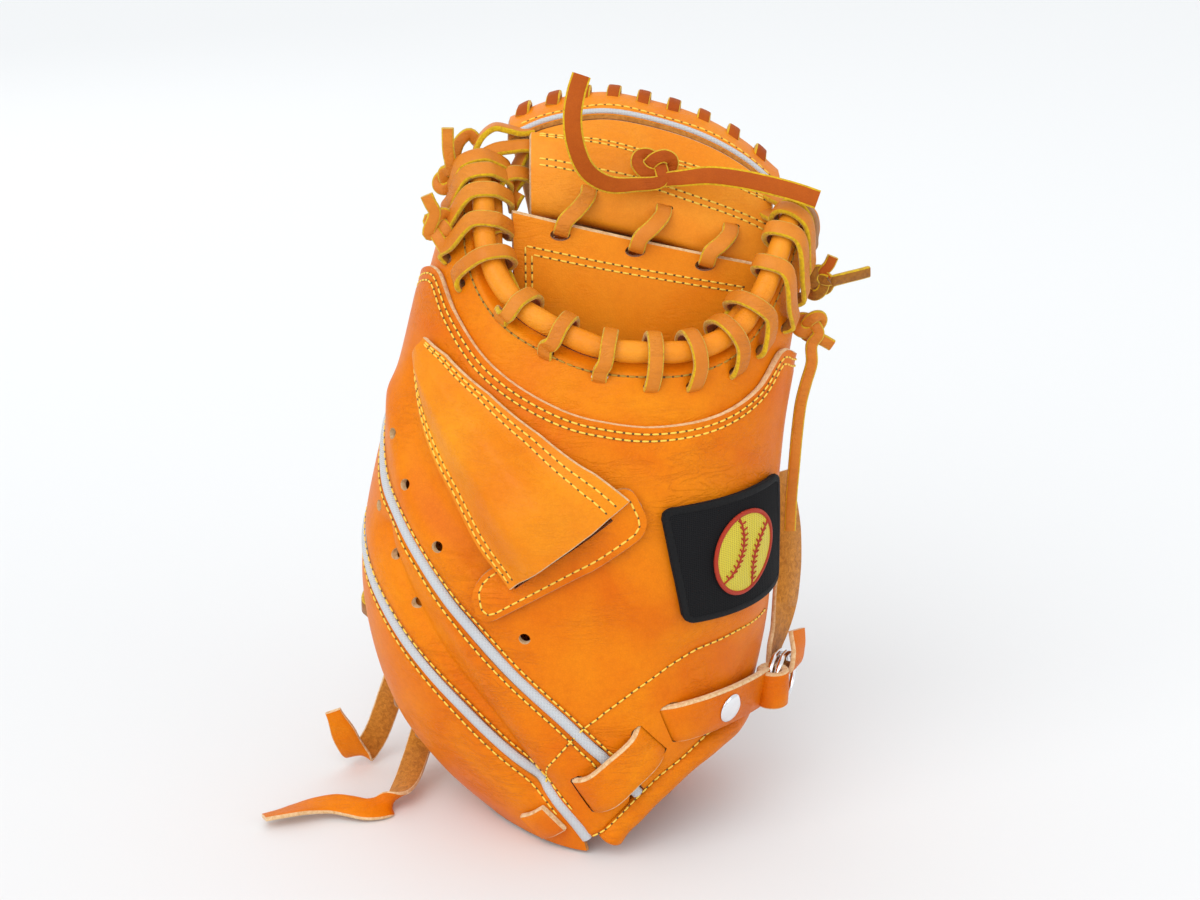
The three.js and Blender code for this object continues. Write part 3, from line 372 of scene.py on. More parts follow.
def useGroup(tree, group, size, coordinate):
    node = tree.nodes.new("ShaderNodeGroup")
    node.node_tree = group
    link(tree, coordinate, node.inputs["Coordinate"])
    node.inputs["Size"].default_value = size
    return node


def newMaterial(name):
    material = bpy.data.materials.new(name)
    material.use_nodes = True
    tree = material.node_tree
    coordinate = tree.nodes.new("ShaderNodeTexCoord").outputs["Object"]
    return material, tree, tree.nodes["Principled BSDF"], coordinate


def bumpInto(tree, shader, heights):
    # Each row is a height, its depth in metres and its strength
    last = None
    for height, depth, strength in heights:
        bump = tree.nodes.new("ShaderNodeBump")
        bump.inputs["Distance"].default_value = depth
        bump.inputs["Strength"].default_value = strength
        link(tree, height, bump.inputs["Height"])
        if last:
            link(tree, last, bump.inputs["Normal"])
        last = bump.outputs["Normal"]
    link(tree, last, shader.inputs["Normal"])


def leatherFinish(name, base, deep, pale, rough, wrinkles, shine, grainSize=900.0, grain=0.3):
    material, tree, shader, at = newMaterial(name)
    mottle = useGroup(tree, mottleGroup, 22.0, at)
    pebble = useGroup(tree, grainGroup, grainSize, at)
    crease = useGroup(tree, wrinkleGroup, 110.0, at)
    body = mixColours(tree, mottle.outputs["Cloud"], base, pale)
    fleck = mathNode(tree, "MULTIPLY", mottle.outputs["Fleck"], 0.13)
    body = mixColours(tree, fleck, body, deep)
    # Painted shade: the grain's valleys are darkened towards the deep colour
    valleyShade = mathNode(tree, "MULTIPLY", mathNode(tree, "SUBTRACT", 1.0, pebble.outputs["Valleys"]), 0.10)
    body = mixColours(tree, valleyShade, body, deep)
    link(tree, body, shader.inputs["Base Color"])
    gloss = mathNode(tree, "MULTIPLY_ADD", mottle.outputs["Cloud"], 0.12)
    gloss.node.inputs[2].default_value = rough - 0.06
    link(tree, gloss, shader.inputs["Roughness"])
    shader.inputs["Specular IOR Level"].default_value = shine
    bumpInto(tree, shader, [(crease.outputs["Height"], 0.0006, wrinkles),
                            (pebble.outputs["Height"], 0.00016, grain)])
    return material


def rawFinish(name, base, deep, rough, fuzz):
    # Cut edges and suede: no shine, short fibres
    material, tree, shader, at = newMaterial(name)
    fibres = noiseNode(tree, at, fuzz, 6.0, 0.7, 0.6)
    shade = mixColours(tree, rampNode(tree, fibres, [(0.35, 0.0), (0.7, 1.0)]), base, deep)
    link(tree, shade, shader.inputs["Base Color"])
    shader.inputs["Roughness"].default_value = rough
    shader.inputs["Specular IOR Level"].default_value = 0.15
    shader.inputs["Sheen Weight"].default_value = 0.25
    bumpInto(tree, shader, [(fibres, 0.0005, 0.6)])
    return material


def plainFinish(name, colour, rough, metal=0.0, fuzz=None):
    material, tree, shader, at = newMaterial(name)
    tone = noiseNode(tree, at, 300.0, 2.0)
    pale = tuple(min(1.0, c * 1.15) for c in colour)
    link(tree, mixColours(tree, tone, colour, pale), shader.inputs["Base Color"])
    shader.inputs["Roughness"].default_value = rough
    shader.inputs["Metallic"].default_value = metal
    if fuzz:
        bumpInto(tree, shader, [(noiseNode(tree, at, fuzz, 3.0), 0.0003, 0.6)])
    return material


def threadFinish(name, colour, deep, size, depth=0.0003, rough=0.6, shine=0.4):
    material, tree, shader, at = newMaterial(name)
    weave = useGroup(tree, weaveGroup, size, at)
    # Painted shade: the low parts of the weave take the deep colour
    link(tree, mixColours(tree, weave.outputs["Height"], deep, colour), shader.inputs["Base Color"])
    shader.inputs["Roughness"].default_value = rough
    shader.inputs["Specular IOR Level"].default_value = shine
    bumpInto(tree, shader, [(weave.outputs["Height"], depth, 0.7)])
    return material


# Rows: base, deep and pale colour, roughness, wrinkles and shine
# The yoke, web, webTop, hood and roll rows are lighter copies of tan: partly the leather's own tone, partly
# painted light that makes up for the shade on the web and adds highlights
leathers = {
    "tan": ((0.69, 0.131, 0.001), (0.36, 0.046, 0.001), (0.83, 0.245, 0.003), 0.40, 0.5, 0.12),
    "yoke": ((0.74, 0.170, 0.002), (0.42, 0.065, 0.001), (0.85, 0.28, 0.005), 0.40, 0.4, 0.12),
    "web": ((0.79, 0.215, 0.005), (0.48, 0.09, 0.002), (0.88, 0.31, 0.014), 0.40, 0.3, 0.14),
    "webTop": ((0.81, 0.235, 0.010), (0.50, 0.11, 0.003), (0.89, 0.34, 0.024), 0.36, 0.3, 0.16),
    "palm": ((0.64, 0.120, 0.001), (0.34, 0.045, 0.001), (0.75, 0.195, 0.004), 0.46, 0.6, 0.14),
    "hood": ((0.75, 0.195, 0.003), (0.44, 0.08, 0.001), (0.86, 0.31, 0.010), 0.38, 0.35, 0.15),
    "roll": ((0.80, 0.235, 0.008), (0.46, 0.10, 0.002), (0.89, 0.34, 0.020), 0.34, 0.35, 0.22),
}
finishes = {name: leatherFinish(name + "Leather", *row) for name, row in leathers.items()}
finishes.update({
    "laceGrain": leatherFinish("laceGrain", (0.62, 0.17, 0.010), (0.34, 0.07, 0.003), (0.74, 0.26, 0.022),
                               0.40, 0.5, 0.25, grainSize=1200.0, grain=0.35),
    "laceDark": leatherFinish("laceDark", (0.38, 0.064, 0.003), (0.19, 0.024, 0.001), (0.50, 0.105, 0.006),
                              0.60, 0.4, 0.15, grainSize=1100.0, grain=0.6),
    "laceEdge": rawFinish("laceEdge", (0.78, 0.50, 0.004), (0.44, 0.23, 0.002), 0.7, 700.0),
    "laceBack": rawFinish("laceBack", (0.40, 0.15, 0.012), (0.22, 0.07, 0.006), 0.85, 700.0),
    "rawEdge": rawFinish("rawEdge", (0.84, 0.62, 0.36), (0.58, 0.30, 0.10), 0.9, 500.0),
    "tanEdge": rawFinish("tanEdge", (0.60, 0.26, 0.05), (0.36, 0.12, 0.015), 0.85, 500.0),
    "flesh": rawFinish("fleshSide", (0.62, 0.36, 0.16), (0.40, 0.20, 0.07), 0.95, 260.0),
    "suede": rawFinish("suedeSide", (0.64, 0.25, 0.030), (0.34, 0.11, 0.010), 0.95, 520.0),
    "piping": threadFinish("silverPiping", (0.62, 0.64, 0.66), (0.40, 0.42, 0.44), 520.0, 0.0002, 0.42),
    "yellowThread": plainFinish("yellowThread", (0.86, 0.58, 0.07), 0.6, fuzz=2500.0),
    # Dark marks in the needle holes: painted shade
    "darkThread": plainFinish("darkThread", (0.11, 0.055, 0.010), 0.75),
    "oliveThread": plainFinish("oliveThread", (0.42, 0.23, 0.02), 0.7),
    "patchCloth": threadFinish("patchCloth", (0.014, 0.014, 0.015), (0.003, 0.003, 0.004), 420.0, rough=0.9,
                               shine=0.12),
    "patchBorder": threadFinish("patchBorder", (0.012, 0.012, 0.013), (0.003, 0.003, 0.004), 600.0, 0.0005,
                                0.7, 0.2),
    "goldThread": threadFinish("goldThread", (0.84, 0.70, 0.05), (0.50, 0.36, 0.015), 420.0, 0.0007, 0.45,
                               0.5),
    "redThread": threadFinish("redThread", (0.60, 0.045, 0.012), (0.30, 0.015, 0.006), 700.0, 0.0005, 0.55),
    "chrome": plainFinish("chrome", (0.80, 0.80, 0.82), 0.14, 1.0),
})

# What a cut piece shows: its face, its edge and its back
paleEdged = ["tan", "rawEdge", "flesh"]
darkEdged = ["tan", "tanEdge", "flesh"]
suedeBacked = ["tan", "rawEdge", "suede"]
laceFinishes = ["laceGrain", "laceEdge", "laceBack"]
darkLaceFinishes = ["laceDark", "laceEdge", "laceBack"]
print("finishes made")


# Mesh makers. Each gives points, faces and the finish number of every face
def toFrame(points):
    points = np.asarray(points, float).copy()
    points[..., 1] -= mitt["standBack"]
    return points / 1000


def facingOut(points, faces):
    corners = [points[[f[k] for f in faces]] for k in (0, 1, 2)]
    total = np.einsum("ij,ij->i", corners[0], np.cross(corners[1], corners[2])).sum()
    return faces if total > 0 else [tuple(reversed(f)) for f in faces]


def addPiece(name, made, materials, node=None, sharp=35.0):
    points, faces, slots = made
    points = np.asarray(points, float).reshape(-1, 3)
    mesh = bpy.data.meshes.new(name)
    mesh.from_pydata(toFrame(points).tolist(), [], facingOut(points, faces))
    for key in materials:
        mesh.materials.append(finishes[key])
    if slots is not None:
        mesh.polygons.foreach_set("material_index", np.asarray(slots, np.int32))
    mesh.polygons.foreach_set("use_smooth", np.ones(len(mesh.polygons), bool))
    mesh.set_sharp_from_angle(angle=math.radians(sharp))
    mesh.validate()
    mesh.update()
    piece = bpy.data.objects.new(name, mesh)
    bpy.context.scene.collection.objects.link(piece)
    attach(piece, "root")
    if node:
        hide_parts(node)
    return piece


def sheetMesh(outer, inner, nu, nv, closeEdge=0.45):
    # Outer and inner face with a rounded rim between them. Slots: 0 outside, 1 rim, 2 inside
    u, v = np.meshgrid(np.linspace(0, 1, nu + 1), np.linspace(0, 1, nv + 1), indexing="ij")
    top, bottom = outer(u, v), inner(u, v)
    ring = ([(i, 0) for i in range(nu)] + [(nu, j) for j in range(nv)]
            + [(i, nv) for i in range(nu, 0, -1)] + [(0, j) for j in range(nv, 0, -1)])
    wide = nv + 1
    total = (nu + 1) * wide
    def into(i, j):
        return min(max(i, 1), nu - 1), min(max(j, 1), nv - 1)
    middle = []
    for i, j in ring:
        a, b = into(i, j)
        away = unit(top[i, j] - top[a, b] + bottom[i, j] - bottom[a, b])
        thick = np.linalg.norm(top[i, j] - bottom[i, j])
        middle.append((top[i, j] + bottom[i, j]) / 2 + away * thick * closeEdge * 0.5)
    points = np.concatenate([top.reshape(-1, 3), bottom.reshape(-1, 3), np.array(middle)])
    faces, slots = [], []
    for i in range(nu):
        for j in range(nv):
            a, b, c, d = i * wide + j, (i + 1) * wide + j, (i + 1) * wide + j + 1, i * wide + j + 1
            faces.append((a, b, c, d))
            slots.append(0)
            faces.append((total + a, total + d, total + c, total + b))
            slots.append(2)
    count = len(ring)
    for k in range(count):
        i0, j0 = ring[k]
        i1, j1 = ring[(k + 1) % count]
        a, b = i0 * wide + j0, i1 * wide + j1
        m, n = 2 * total + k, 2 * total + (k + 1) % count
        faces.append((b, a, m, n))
        faces.append((total + a, total + b, n, m))
        slots += [1, 1]
    return points, faces, slots


def stations(points, acrosses, steps, closed=False):
    line = catmull(points, steps, closed)
    if isinstance(acrosses, np.ndarray) and acrosses.ndim == 1:
        wide = np.repeat(acrosses[None], len(line), axis=0)
    else:
        table = np.array(acrosses, float)
        spans = len(table) if closed else len(table) - 1
        where = np.linspace(0, spans, len(line), endpoint=not closed)
        i = np.minimum(where.astype(int), spans - 1)
        f = (where - i)[:, None]
        wide = table[i] * (1 - f) + table[(i + 1) % len(table)] * f
    before = np.roll(line, 1, axis=0)
    after = np.roll(line, -1, axis=0)
    if not closed:
        before[0], after[-1] = line[0], line[-1]
    along = unit(after - before)
    wide = unit(wide - along * np.sum(wide * along, axis=1, keepdims=True))
    return line, wide, np.cross(along, wide)


def sweepMesh(line, wide, thick, profile, closed=False, scale=None, slotOf=None):
    # Profile rows: across, through. One row of faces for each step of the profile
    profile = np.array(profile, float)
    count, sides = len(line), len(profile)
    scale = np.ones((count, 2)) if scale is None else np.asarray(scale, float)
    a = profile[None, :, 0] * scale[:, 0:1]
    b = profile[None, :, 1] * scale[:, 1:2]
    points = line[:, None] + wide[:, None] * a[..., None] + thick[:, None] * b[..., None]
    faces, kinds = [], []
    for i in range(count if closed else count - 1):
        here, there = i * sides, (i + 1) % count * sides
        for k in range(sides):
            n = (k + 1) % sides
            faces.append((here + k, here + n, there + n, there + k))
            kinds.append(k)
    if not closed:
        faces.append(tuple(reversed(range(sides))))
        faces.append(tuple((count - 1) * sides + k for k in range(sides)))
        kinds += [-1, -1]
    slots = [slotOf[k] for k in kinds] if slotOf else [0] * len(kinds)
    return points.reshape(-1, 3), faces, slots


def oval(across, through, sides):
    return [(across * math.cos(a), through * math.sin(a)) for a in np.arange(sides) * 2 * math.pi / sides]


# A cut strip of leather: grain on top, flesh below, dyed edges
def stripProfile(width, thick):
    w, t, c = width / 2, thick / 2, min(thick, width) * 0.22
    crown = 0.12        # the grain side is a little domed
    return [(-w + c, -t), (0, -t * (1 + crown * 0.3)), (w - c, -t), (w, -t + c), (w, t - c), (w - c, t),
            (w * 0.5, t * (1 + crown)), (0, t * (1 + crown * 1.3)), (-w * 0.5, t * (1 + crown)), (-w + c, t),
            (-w, t - c), (-w, -t + c)]


stripSlots = {0: 2, 1: 2, 2: 1, 3: 1, 4: 1, 5: 0, 6: 0, 7: 0, 8: 0, 9: 1, 10: 1, 11: 1, -1: 1}


def stripMesh(points, acrosses, width, thick, steps, closed=False, scale=None, flip=False):
    line, wide, through = stations(points, acrosses, steps, closed)
    if flip:
        through = -through
    return sweepMesh(line, wide, through, stripProfile(width, thick), closed, scale, stripSlots)


def tubeMesh(points, radius, steps, sides, radii):
    line, wide, through = stations(points, vec(0.01, 0.02, 1), steps)
    return sweepMesh(line, wide, through, oval(radius, radius, sides), scale=np.stack([radii, radii], axis=1))


def plainTube(line, radius, sides=8):
    before = np.vstack([line[:1], line[:-1]])
    after = np.vstack([line[1:], line[-1:]])
    direction = unit(after - before)
    wide = unit(np.cross(direction, vec(0.13, -1, 0.21)))
    return sweepMesh(line, wide, np.cross(direction, wide), oval(radius, radius, sides))


def tubeRing(line, outs, across, through, sides=10):
    # A closed tube, with across in its plane and through along outs
    direction = unit(np.roll(line, -1, axis=0) - np.roll(line, 1, axis=0))
    wide = unit(np.cross(outs, direction))
    return sweepMesh(line, wide, np.cross(direction, wide), oval(across, through, sides), closed=True)


def joined(parts):
    points, faces, slots, base = [], [], [], 0
    for p, f, s in parts:
        f = facingOut(np.asarray(p), f)
        points.append(p)
        faces += [tuple(i + base for i in face) for face in f]
        slots += list(s)
        base += len(p)
    return np.concatenate(points), faces, slots


# Seam thread: one small closed capsule a stitch, with a dark mark of painted shade for the pricked hole
# between stitches
thread = {"pitch": 3.5, "long": 2.7, "wide": 0.42, "high": 0.34, "hole": 0.42}


def capsule(middle, along, out, half, wide, high, slot):
    side = np.cross(along, out)
    rings = [(-1.0, 0.35), (-0.75, 0.85), (0.0, 1.0), (0.75, 0.85), (1.0, 0.35)]
    sides = 6
    points = []
    for place, size in rings:
        dip = -0.35 * abs(place) ** 2 * high
        for k in range(sides):
            a = 2 * math.pi * k / sides
            points.append(middle + along * place * half + side * math.cos(a) * wide * size
                          + out * (math.sin(a) * high * size + dip))
    faces = [(low + k, low + (k + 1) % sides, low + sides + (k + 1) % sides, low + sides + k)
             for low in range(0, (len(rings) - 1) * sides, sides) for k in range(sides)]
    faces.append(tuple(reversed(range(sides))))
    faces.append(tuple((len(rings) - 1) * sides + k for k in range(sides)))
    return np.array(points), faces, [slot] * len(faces)


stitchRows = {}


def sew(group, line, outs):
    # A row of stitches along a line of points with outward directions
    both = evenly(np.concatenate([line, np.broadcast_to(outs, line.shape)], axis=1), thread["pitch"])
    rows = stitchRows.setdefault(group, [])
    for k in range(len(both) - 1):
        a, b = both[k, :3], both[k + 1, :3]
        out = unit(both[k, 3:] + both[k + 1, 3:])
        along = unit(b - a)
        out = unit(out - along * np.dot(out, along))
        half = np.linalg.norm(b - a) * thread["long"] / thread["pitch"] / 2
        rows.append(capsule((a + b) / 2 + out * 0.12, along, out, half, thread["wide"], thread["high"], 0))
        # Dark mark of painted shade where the needle hole sinks in
        rows.append(capsule(b - out * 0.02, along, out, thread["hole"] * 1.35, thread["hole"], 0.16, 1))


def evenAngles(rows, pitch):
    scale = [mitt["perDegree"], 1]
    return evenly(np.array(rows, float) * scale, pitch) / scale


def sewBack(group, rows, inset=0.0):
    # A row of stitches on the back, through angle and height
    fine = evenAngles(rows, 3.0)
    sew(group, onBack(fine[:, 0], fine[:, 1], inset), backNormal(fine[:, 0], fine[:, 1]))


def besideSeam(rows, offset):
    # The same line of angle and height, moved sideways by millimetres on the back
    fine = evenAngles(rows, 2.5)
    at = smoothBack(fine[:, 0], fine[:, 1])
    perDegree = np.linalg.norm(smoothBack(fine[:, 0] + 1, fine[:, 1]) - at, axis=1)
    step = unit(np.gradient(fine, axis=0) * np.stack([perDegree, np.ones(len(fine))], axis=1))
    return np.stack([fine[:, 0] - step[:, 1] * offset / perDegree, fine[:, 1] + step[:, 0] * offset], axis=1)


def lineOf(name, start, stop, shift):
    angles = np.arange(start, stop + 0.01, 2.0)
    return besideSeam(np.stack([angles, seam(name, angles)], axis=1), shift)


def lookFrom(thing, spot, aim):
    # A camera or a lamp looks along its own -Z
    bpy.context.scene.collection.objects.link(thing)
    back = unit(vec(*spot) - vec(*aim))
    right, up = sideAndUp(back)
    thing.matrix_world = Matrix([[right[i], up[i], back[i], spot[i]] for i in range(3)] + [[0, 0, 0, 1]])


# The camera stands where the photographer stood
def placeCamera():
    data = bpy.data.cameras.new("camera")
    data.lens = photoView["lens"]
    data.sensor_width = 36.0
    data.clip_end = 20
    camera = bpy.data.objects.new("camera", data)
    lookFrom(camera, photoView["camera"], photoView["target"])
    bpy.context.scene.camera = camera


placeCamera()

# Back panels
panels = {
    "edgeLift": 3.4,
    "ringMeetsWrist": 71.0,
    "littleMeetsWrist": 98.0,
    "stitchOff": 4.4,       # seam thread beside the silver piping
    "grooveDepth": 0.35,
    "grooveHalf": 1.1,
    "turnWidth": 2.2,       # the edges turn down over about this width
}

holesThrough = {
    "hand": [(175, 183), (157, 171), (144, 155), (128, 135), (105, 101)],
    "ring": [(160, 140), (148, 124), (138, 106)],
    "radius": 2.3,
}

# Rows of thread: seam, first and last angle, and the side step from the seam
seamRows = [lineOf(*row) for row in (
    ("ringWelt", 77, 206, panels["stitchOff"]), ("ringWelt", 82, 206, -panels["stitchOff"]),
    ("littleWelt", 106, 206, panels["stitchOff"]), ("littleWelt", 106, 206, -panels["stitchOff"]),
    ("yokeSeam", -26, 206, -2.4), ("yokeSeam", -26, 206, -5.0))]
seamRows.append(np.array([(111, 28), (106, 43), (99, 54), (94, 62), (88, 69), (77, 79), (66, 86.5), (56, 91),
                          (38, 93), (16, 92)], float))


def grooves(angle, z):
    # The leather sinks a little under each row of thread
    deep = np.zeros(np.shape(angle))
    for line in seamRows:
        coarse = line[::3] if len(line) > 30 else line
        deep = np.maximum(deep, np.exp(-((nearestTo(coarse, angle, z) / panels["grooveHalf"]) ** 2)))
    return deep * panels["grooveDepth"]


def panelMesh(start, stop, low, high, nu, nv, turnLow, turnHigh):
    # The lower and the upper edge turn down into their seam
    def spot(u, v):
        angle = start + (stop - start) * u
        bottom, top = low(angle), high(angle)
        return angle, bottom + (top - bottom) * v, bottom, top
    def outer(u, v):
        angle, z, bottom, top = spot(u, v)
        turn = (turnLow * np.exp(-(z - bottom) / panels["turnWidth"])
                + turnHigh * np.exp(-(top - z) / panels["turnWidth"]))
        ripple = 0.35 * np.sin(angle * 0.11 + z * 0.06) * np.sin(z * 0.045 - angle * 0.05)
        return onBack(angle, z, turn + grooves(angle, z) - ripple)
    def inner(u, v):
        angle, z, _, _ = spot(u, v)
        return onBack(angle, z, mitt["leather"])
    return sheetMesh(outer, inner, nu, nv)


def handLow(angle):
    above = seam("ringWelt", angle) + weltShift("ringWelt", angle)
    wrist = seam("wristEdge", angle) + panels["edgeLift"]
    low = np.maximum(wrist, np.where(angle > 60, above, 0))
    return np.where(angle < panels["ringMeetsWrist"], low, above)


def ringLow(angle):
    above = seam("littleWelt", angle) + weltShift("littleWelt", angle)
    wrist = seam("wristEdge", angle) + panels["edgeLift"] + 3
    return np.where(angle < panels["littleMeetsWrist"] + 2, wrist, above)


def punchAt(middle, out, radius, length, flat=1.0, sides=20):
    # A round or flattened punch, for cutting only
    side, up = sideAndUp(out)
    points = [middle + out * end + side * radius * math.cos(a) + up * radius * flat * math.sin(a)
              for end in (-length / 2, length / 2) for a in np.arange(sides) * 2 * math.pi / sides]
    faces = [(k, (k + 1) % sides, sides + (k + 1) % sides, sides + k) for k in range(sides)]
    faces += [tuple(reversed(range(sides))), tuple(range(sides, 2 * sides))]
    return np.array(points), faces, [0] * len(faces)


def backPunch(angle, z, radius, length=16, flat=1.0):
    return punchAt(onBack(angle, z), backNormal(angle, z), radius, length, flat)


def cutAway(piece, cutters, finish):
    points, faces, _ = joined(cutters)
    tool = addPiece(piece.name + "_punch", (points, faces, None), [finish])
    change = piece.modifiers.new("punch", "BOOLEAN")
    change.operation = "DIFFERENCE"
    change.solver = "EXACT"
    change.object = tool
    change.material_mode = "TRANSFER"
    graph = bpy.context.evaluated_depsgraph_get()
    graph.update()
    mesh = bpy.data.meshes.new_from_object(piece.evaluated_get(graph), depsgraph=graph)
    piece.modifiers.clear()
    old = piece.data
    piece.data = mesh
    bpy.data.meshes.remove(old)
    mesh.polygons.foreach_set("use_smooth", np.ones(len(mesh.polygons), bool))
    mesh.set_sharp_from_angle(angle=math.radians(35))
    bpy.data.objects.remove(tool, do_unlink=True)


# Belt line, shared by the belt and by the slits that it goes through
belt = {
    # angle, height and depth in the leather
    "rows": [(101.5, 28.5, 5.4), (98, 30, 4), (96, 31.5, -1), (91, 35, -3.6), (82, 43.5, -3.6),
             (74, 52, -2.4), (70, 56, 3.2), (67, 59, 3.6), (62, 61.5, -1.4), (54, 62.5, -3), (42, 62, -3.2),
             (28, 59.5, -3.2), (15, 57, -4.6)],
    "width": 18.0,
    "thick": 3.0,
    "rivet": (42, 62, -3.2),
}
slit = {
    "rows": [(107, 125.4, 0), (100, 134.4, 0), (92, 144.4, 0), (85.5, 153.4, 0)],
    "wide": 5.6,
    "through": 22.0,
}


def backStrip(rows, width, thick, steps):
    rows = np.array(rows, float)
    points = np.array([onBack(a, z, inset) for a, z, inset in rows])
    across = []
    for i in range(len(rows)):
        along = points[min(i + 1, len(rows) - 1)] - points[max(i - 1, 0)]
        across.append(unit(np.cross(backNormal(rows[i, 0], rows[i, 1]), along)))
    return stripMesh(points, across, width, thick, steps)


slitCutter = backStrip(slit["rows"], slit["wide"], slit["through"], 12)
beltCutter = backStrip(belt["rows"], belt["width"] + 1.0, belt["thick"] + 1.2, 40)


def lacingPunches(rows):
    return [backPunch(a, z, holesThrough["radius"]) for a, z in rows]


hand = addPiece("hand_panel_leather", panelMesh(
    mitt["thumbRim"], mitt["rimAngle"], handLow, lambda a: seam("yokeSeam", a), 200, 100, 0.5, 0.0),
    paleEdged, "hand_panel")
cutAway(hand, lacingPunches(holesThrough["hand"]), "rawEdge")
cutAway(hand, [slitCutter], "tanEdge")
cutAway(hand, [beltCutter], "tanEdge")

ring = addPiece("ring_finger_leather", panelMesh(
    panels["ringMeetsWrist"] + 6, mitt["rimAngle"], ringLow,
    lambda a: seam("ringWelt", a) - weltShift("ringWelt", a), 130, 60, 0.9, 0.9),
    darkEdged, "ring_finger_panel")
cutAway(ring, lacingPunches(holesThrough["ring"]), "rawEdge")
cutAway(ring, [beltCutter], "tanEdge")

addPiece("little_finger_leather", panelMesh(
    panels["littleMeetsWrist"] + 5, mitt["rimAngle"], lambda a: seam("wristEdge", a),
    lambda a: seam("littleWelt", a) - weltShift("littleWelt", a), 110, 70, 0.0, 0.9),
    darkEdged, "little_finger_panel")

for row in seamRows:
    sewBack("back_stitches", row)
print("back panels made")


def weltPiece(name, node, line, start, stop):
    angles = np.linspace(start, stop, 110)
    points = onBack(angles, seam(line, angles), (mitt["leather"] - piping["proud"]) / 2)
    along = unit(np.gradient(points, axis=0))
    wide = unit(np.cross(backNormal(angles, seam(line, angles)), along))
    made = sweepMesh(points, wide, np.cross(along, wide),
                     oval(piping["width"] / 2, (mitt["leather"] + piping["proud"]) / 2, 12))
    addPiece(name, made, ["piping"], node)


weltPiece("long_piping", "welt_long", "ringWelt", 73.5, 207)
weltPiece("short_piping", "welt_short", "littleWelt", 101, 207)

# Yoke round the crotch, lapped by the hand panel
roll = {"radius": 4.4, "inset": 3.0, "innerRadius": 3.4, "innerFrom": 44.0, "wristRadius": 5.6}
roll["innerInset"] = roll["inset"] + roll["radius"] + roll["innerRadius"] + mitt["seat"] + 0.2


def rollHeight(angle):
    return seam("rollLine", angle)


def yokeTop(angle):
    a, b = onBack(angle - 2, rollHeight(angle - 2)), onBack(angle + 2, rollHeight(angle + 2))
    rise = (b[..., 2] - a[..., 2]) / np.hypot(b[..., 0] - a[..., 0], b[..., 1] - a[..., 1])
    under = rollHeight(angle) - (roll["radius"] - 0.4) * np.sqrt(1 + rise**2)
    return np.where((angle < 15) | (angle > 162), seam("crotchEdge", angle), under)


# Crotch wraps: angle and height of the hole, and the place on the roll
wraps = [(144, 233, 133), (122, 223, 117), (106, 212, 103), (91, 204, 90.5), (78, 200, 79), (65, 199, 67),
         (50, 202, 55), (39, 208, 46.5)]
yoke = {
    "inset": mitt["leather"] + mitt["seat"] + 0.25,
    "wall": 2.4,
    "pull": (1.1, 3.6, 4.2),        # depth, half width and half height of the dent at each wrap
    "rays": 0.22,
}

# Side lacing: where it starts on the web, its place on the roll and the hole that it ends in
rungs = {
    "finger": [((-28.8, 72, 278), 160, (170, 262)), ((-28.8, 66, 270), 153, (167, 254)),
               ((-32, 62, 262), 146.5, (163, 246.5)), ((-38.6, 58, 250), 140.5, (157, 241))],
    "thumb": [(None, 15, (6, 238)), (None, 22.5, (10, 231)), (None, 30, (16, 222)), (None, 38, (24, 214))],
}


def makeYoke():
    thumb, rim = mitt["thumbRim"], mitt["rimAngle"]
    wrapped = np.array([(a, z + 1.0) for a, z, _ in wraps], float)
    def spot(u, v):
        angle = thumb + (rim - thumb) * u
        low = seam("yokeSeam", angle) - 8
        return angle, low + (yokeTop(angle) - low) * v
    def inset(v):
        # The top tucks in under the roll
        return yoke["inset"] - 1.4 * np.minimum(v, 0.85) + 3.2 * smooth(v, 0.84, 1.0)
    def outer(u, v):
        # The leather is drawn in at each wrap, with short rays between the wraps
        angle, z = spot(u, v)
        pull = np.zeros(u.shape)
        deep, wide, tall = yoke["pull"]
        for a, h in wrapped:
            pull += deep * np.exp(-(((angle - a) * mitt["perDegree"] / wide) ** 2) - ((z - h) / tall) ** 2)
        rays = (yoke["rays"] * np.sin(angle * 2.6) * smooth(v, 0.55, 0.95) * smooth(angle, 25, 45)
                * (1 - smooth(angle, 140, 155)))
        return onBack(angle, z, inset(v) + pull - rays)
    def inner(u, v):
        angle, z = spot(u, v)
        return onBack(angle, z, inset(v) + yoke["wall"])
    piece = addPiece("crotch_yoke_leather", sheetMesh(outer, inner, 220, 34), ["yoke", "tanEdge", "flesh"],
                     "crotch_yoke")
    sideHoles = [hole for rows in rungs.values() for _, _, hole in rows]
    cutAway(piece, [backPunch(a, z + 0.4, 3.25, 14, 0.55) for a, z, _ in wraps]
            + [backPunch(a, z - 0.6, 3.5, 14, 0.6) for a, z in sideHoles], "tanEdge")
    angles = np.arange(17, 160.5, 2.0)
    line = besideSeam(np.stack([angles, rollHeight(angles)], axis=1), -roll["radius"] - 4.6)
    sewBack("roll_stitches", line, yoke["inset"] - 1.15)


makeYoke()


# Rolled edges
def roundEnds(steps, length, least):
    where = np.arange(steps + 1)
    ends = np.minimum(np.minimum(where, steps - where) / length, 1)
    return np.sqrt(np.maximum(1 - (1 - ends) ** 2, least))


def rollPiece(name, node, inset, drop, radius, start):
    control = [onBack(a, z - drop, inset) for a, z in reversed(seams["rollLine"]) if a >= start]
    steps = 170
    line = catmull(control, steps)
    radii = np.ones(steps + 1)
    for _, _, onRoll in wraps:
        spot = onBack(onRoll, rollHeight(onRoll) - drop, inset)
        radii -= 0.10 * np.exp(-((np.linalg.norm(line - spot, axis=1) / 4.5) ** 2))
    piece = addPiece(name, tubeMesh(control, radius, steps, 16, radii * roundEnds(steps, 5, 0.12)), ["roll"],
                     node, sharp=60)


rollPiece("crotch_roll_leather", "crotch_roll", roll["inset"], 0, roll["radius"], 0)
rollPiece("inner_roll_leather", "inner_roll", roll["innerInset"], 1, roll["innerRadius"], roll["innerFrom"])


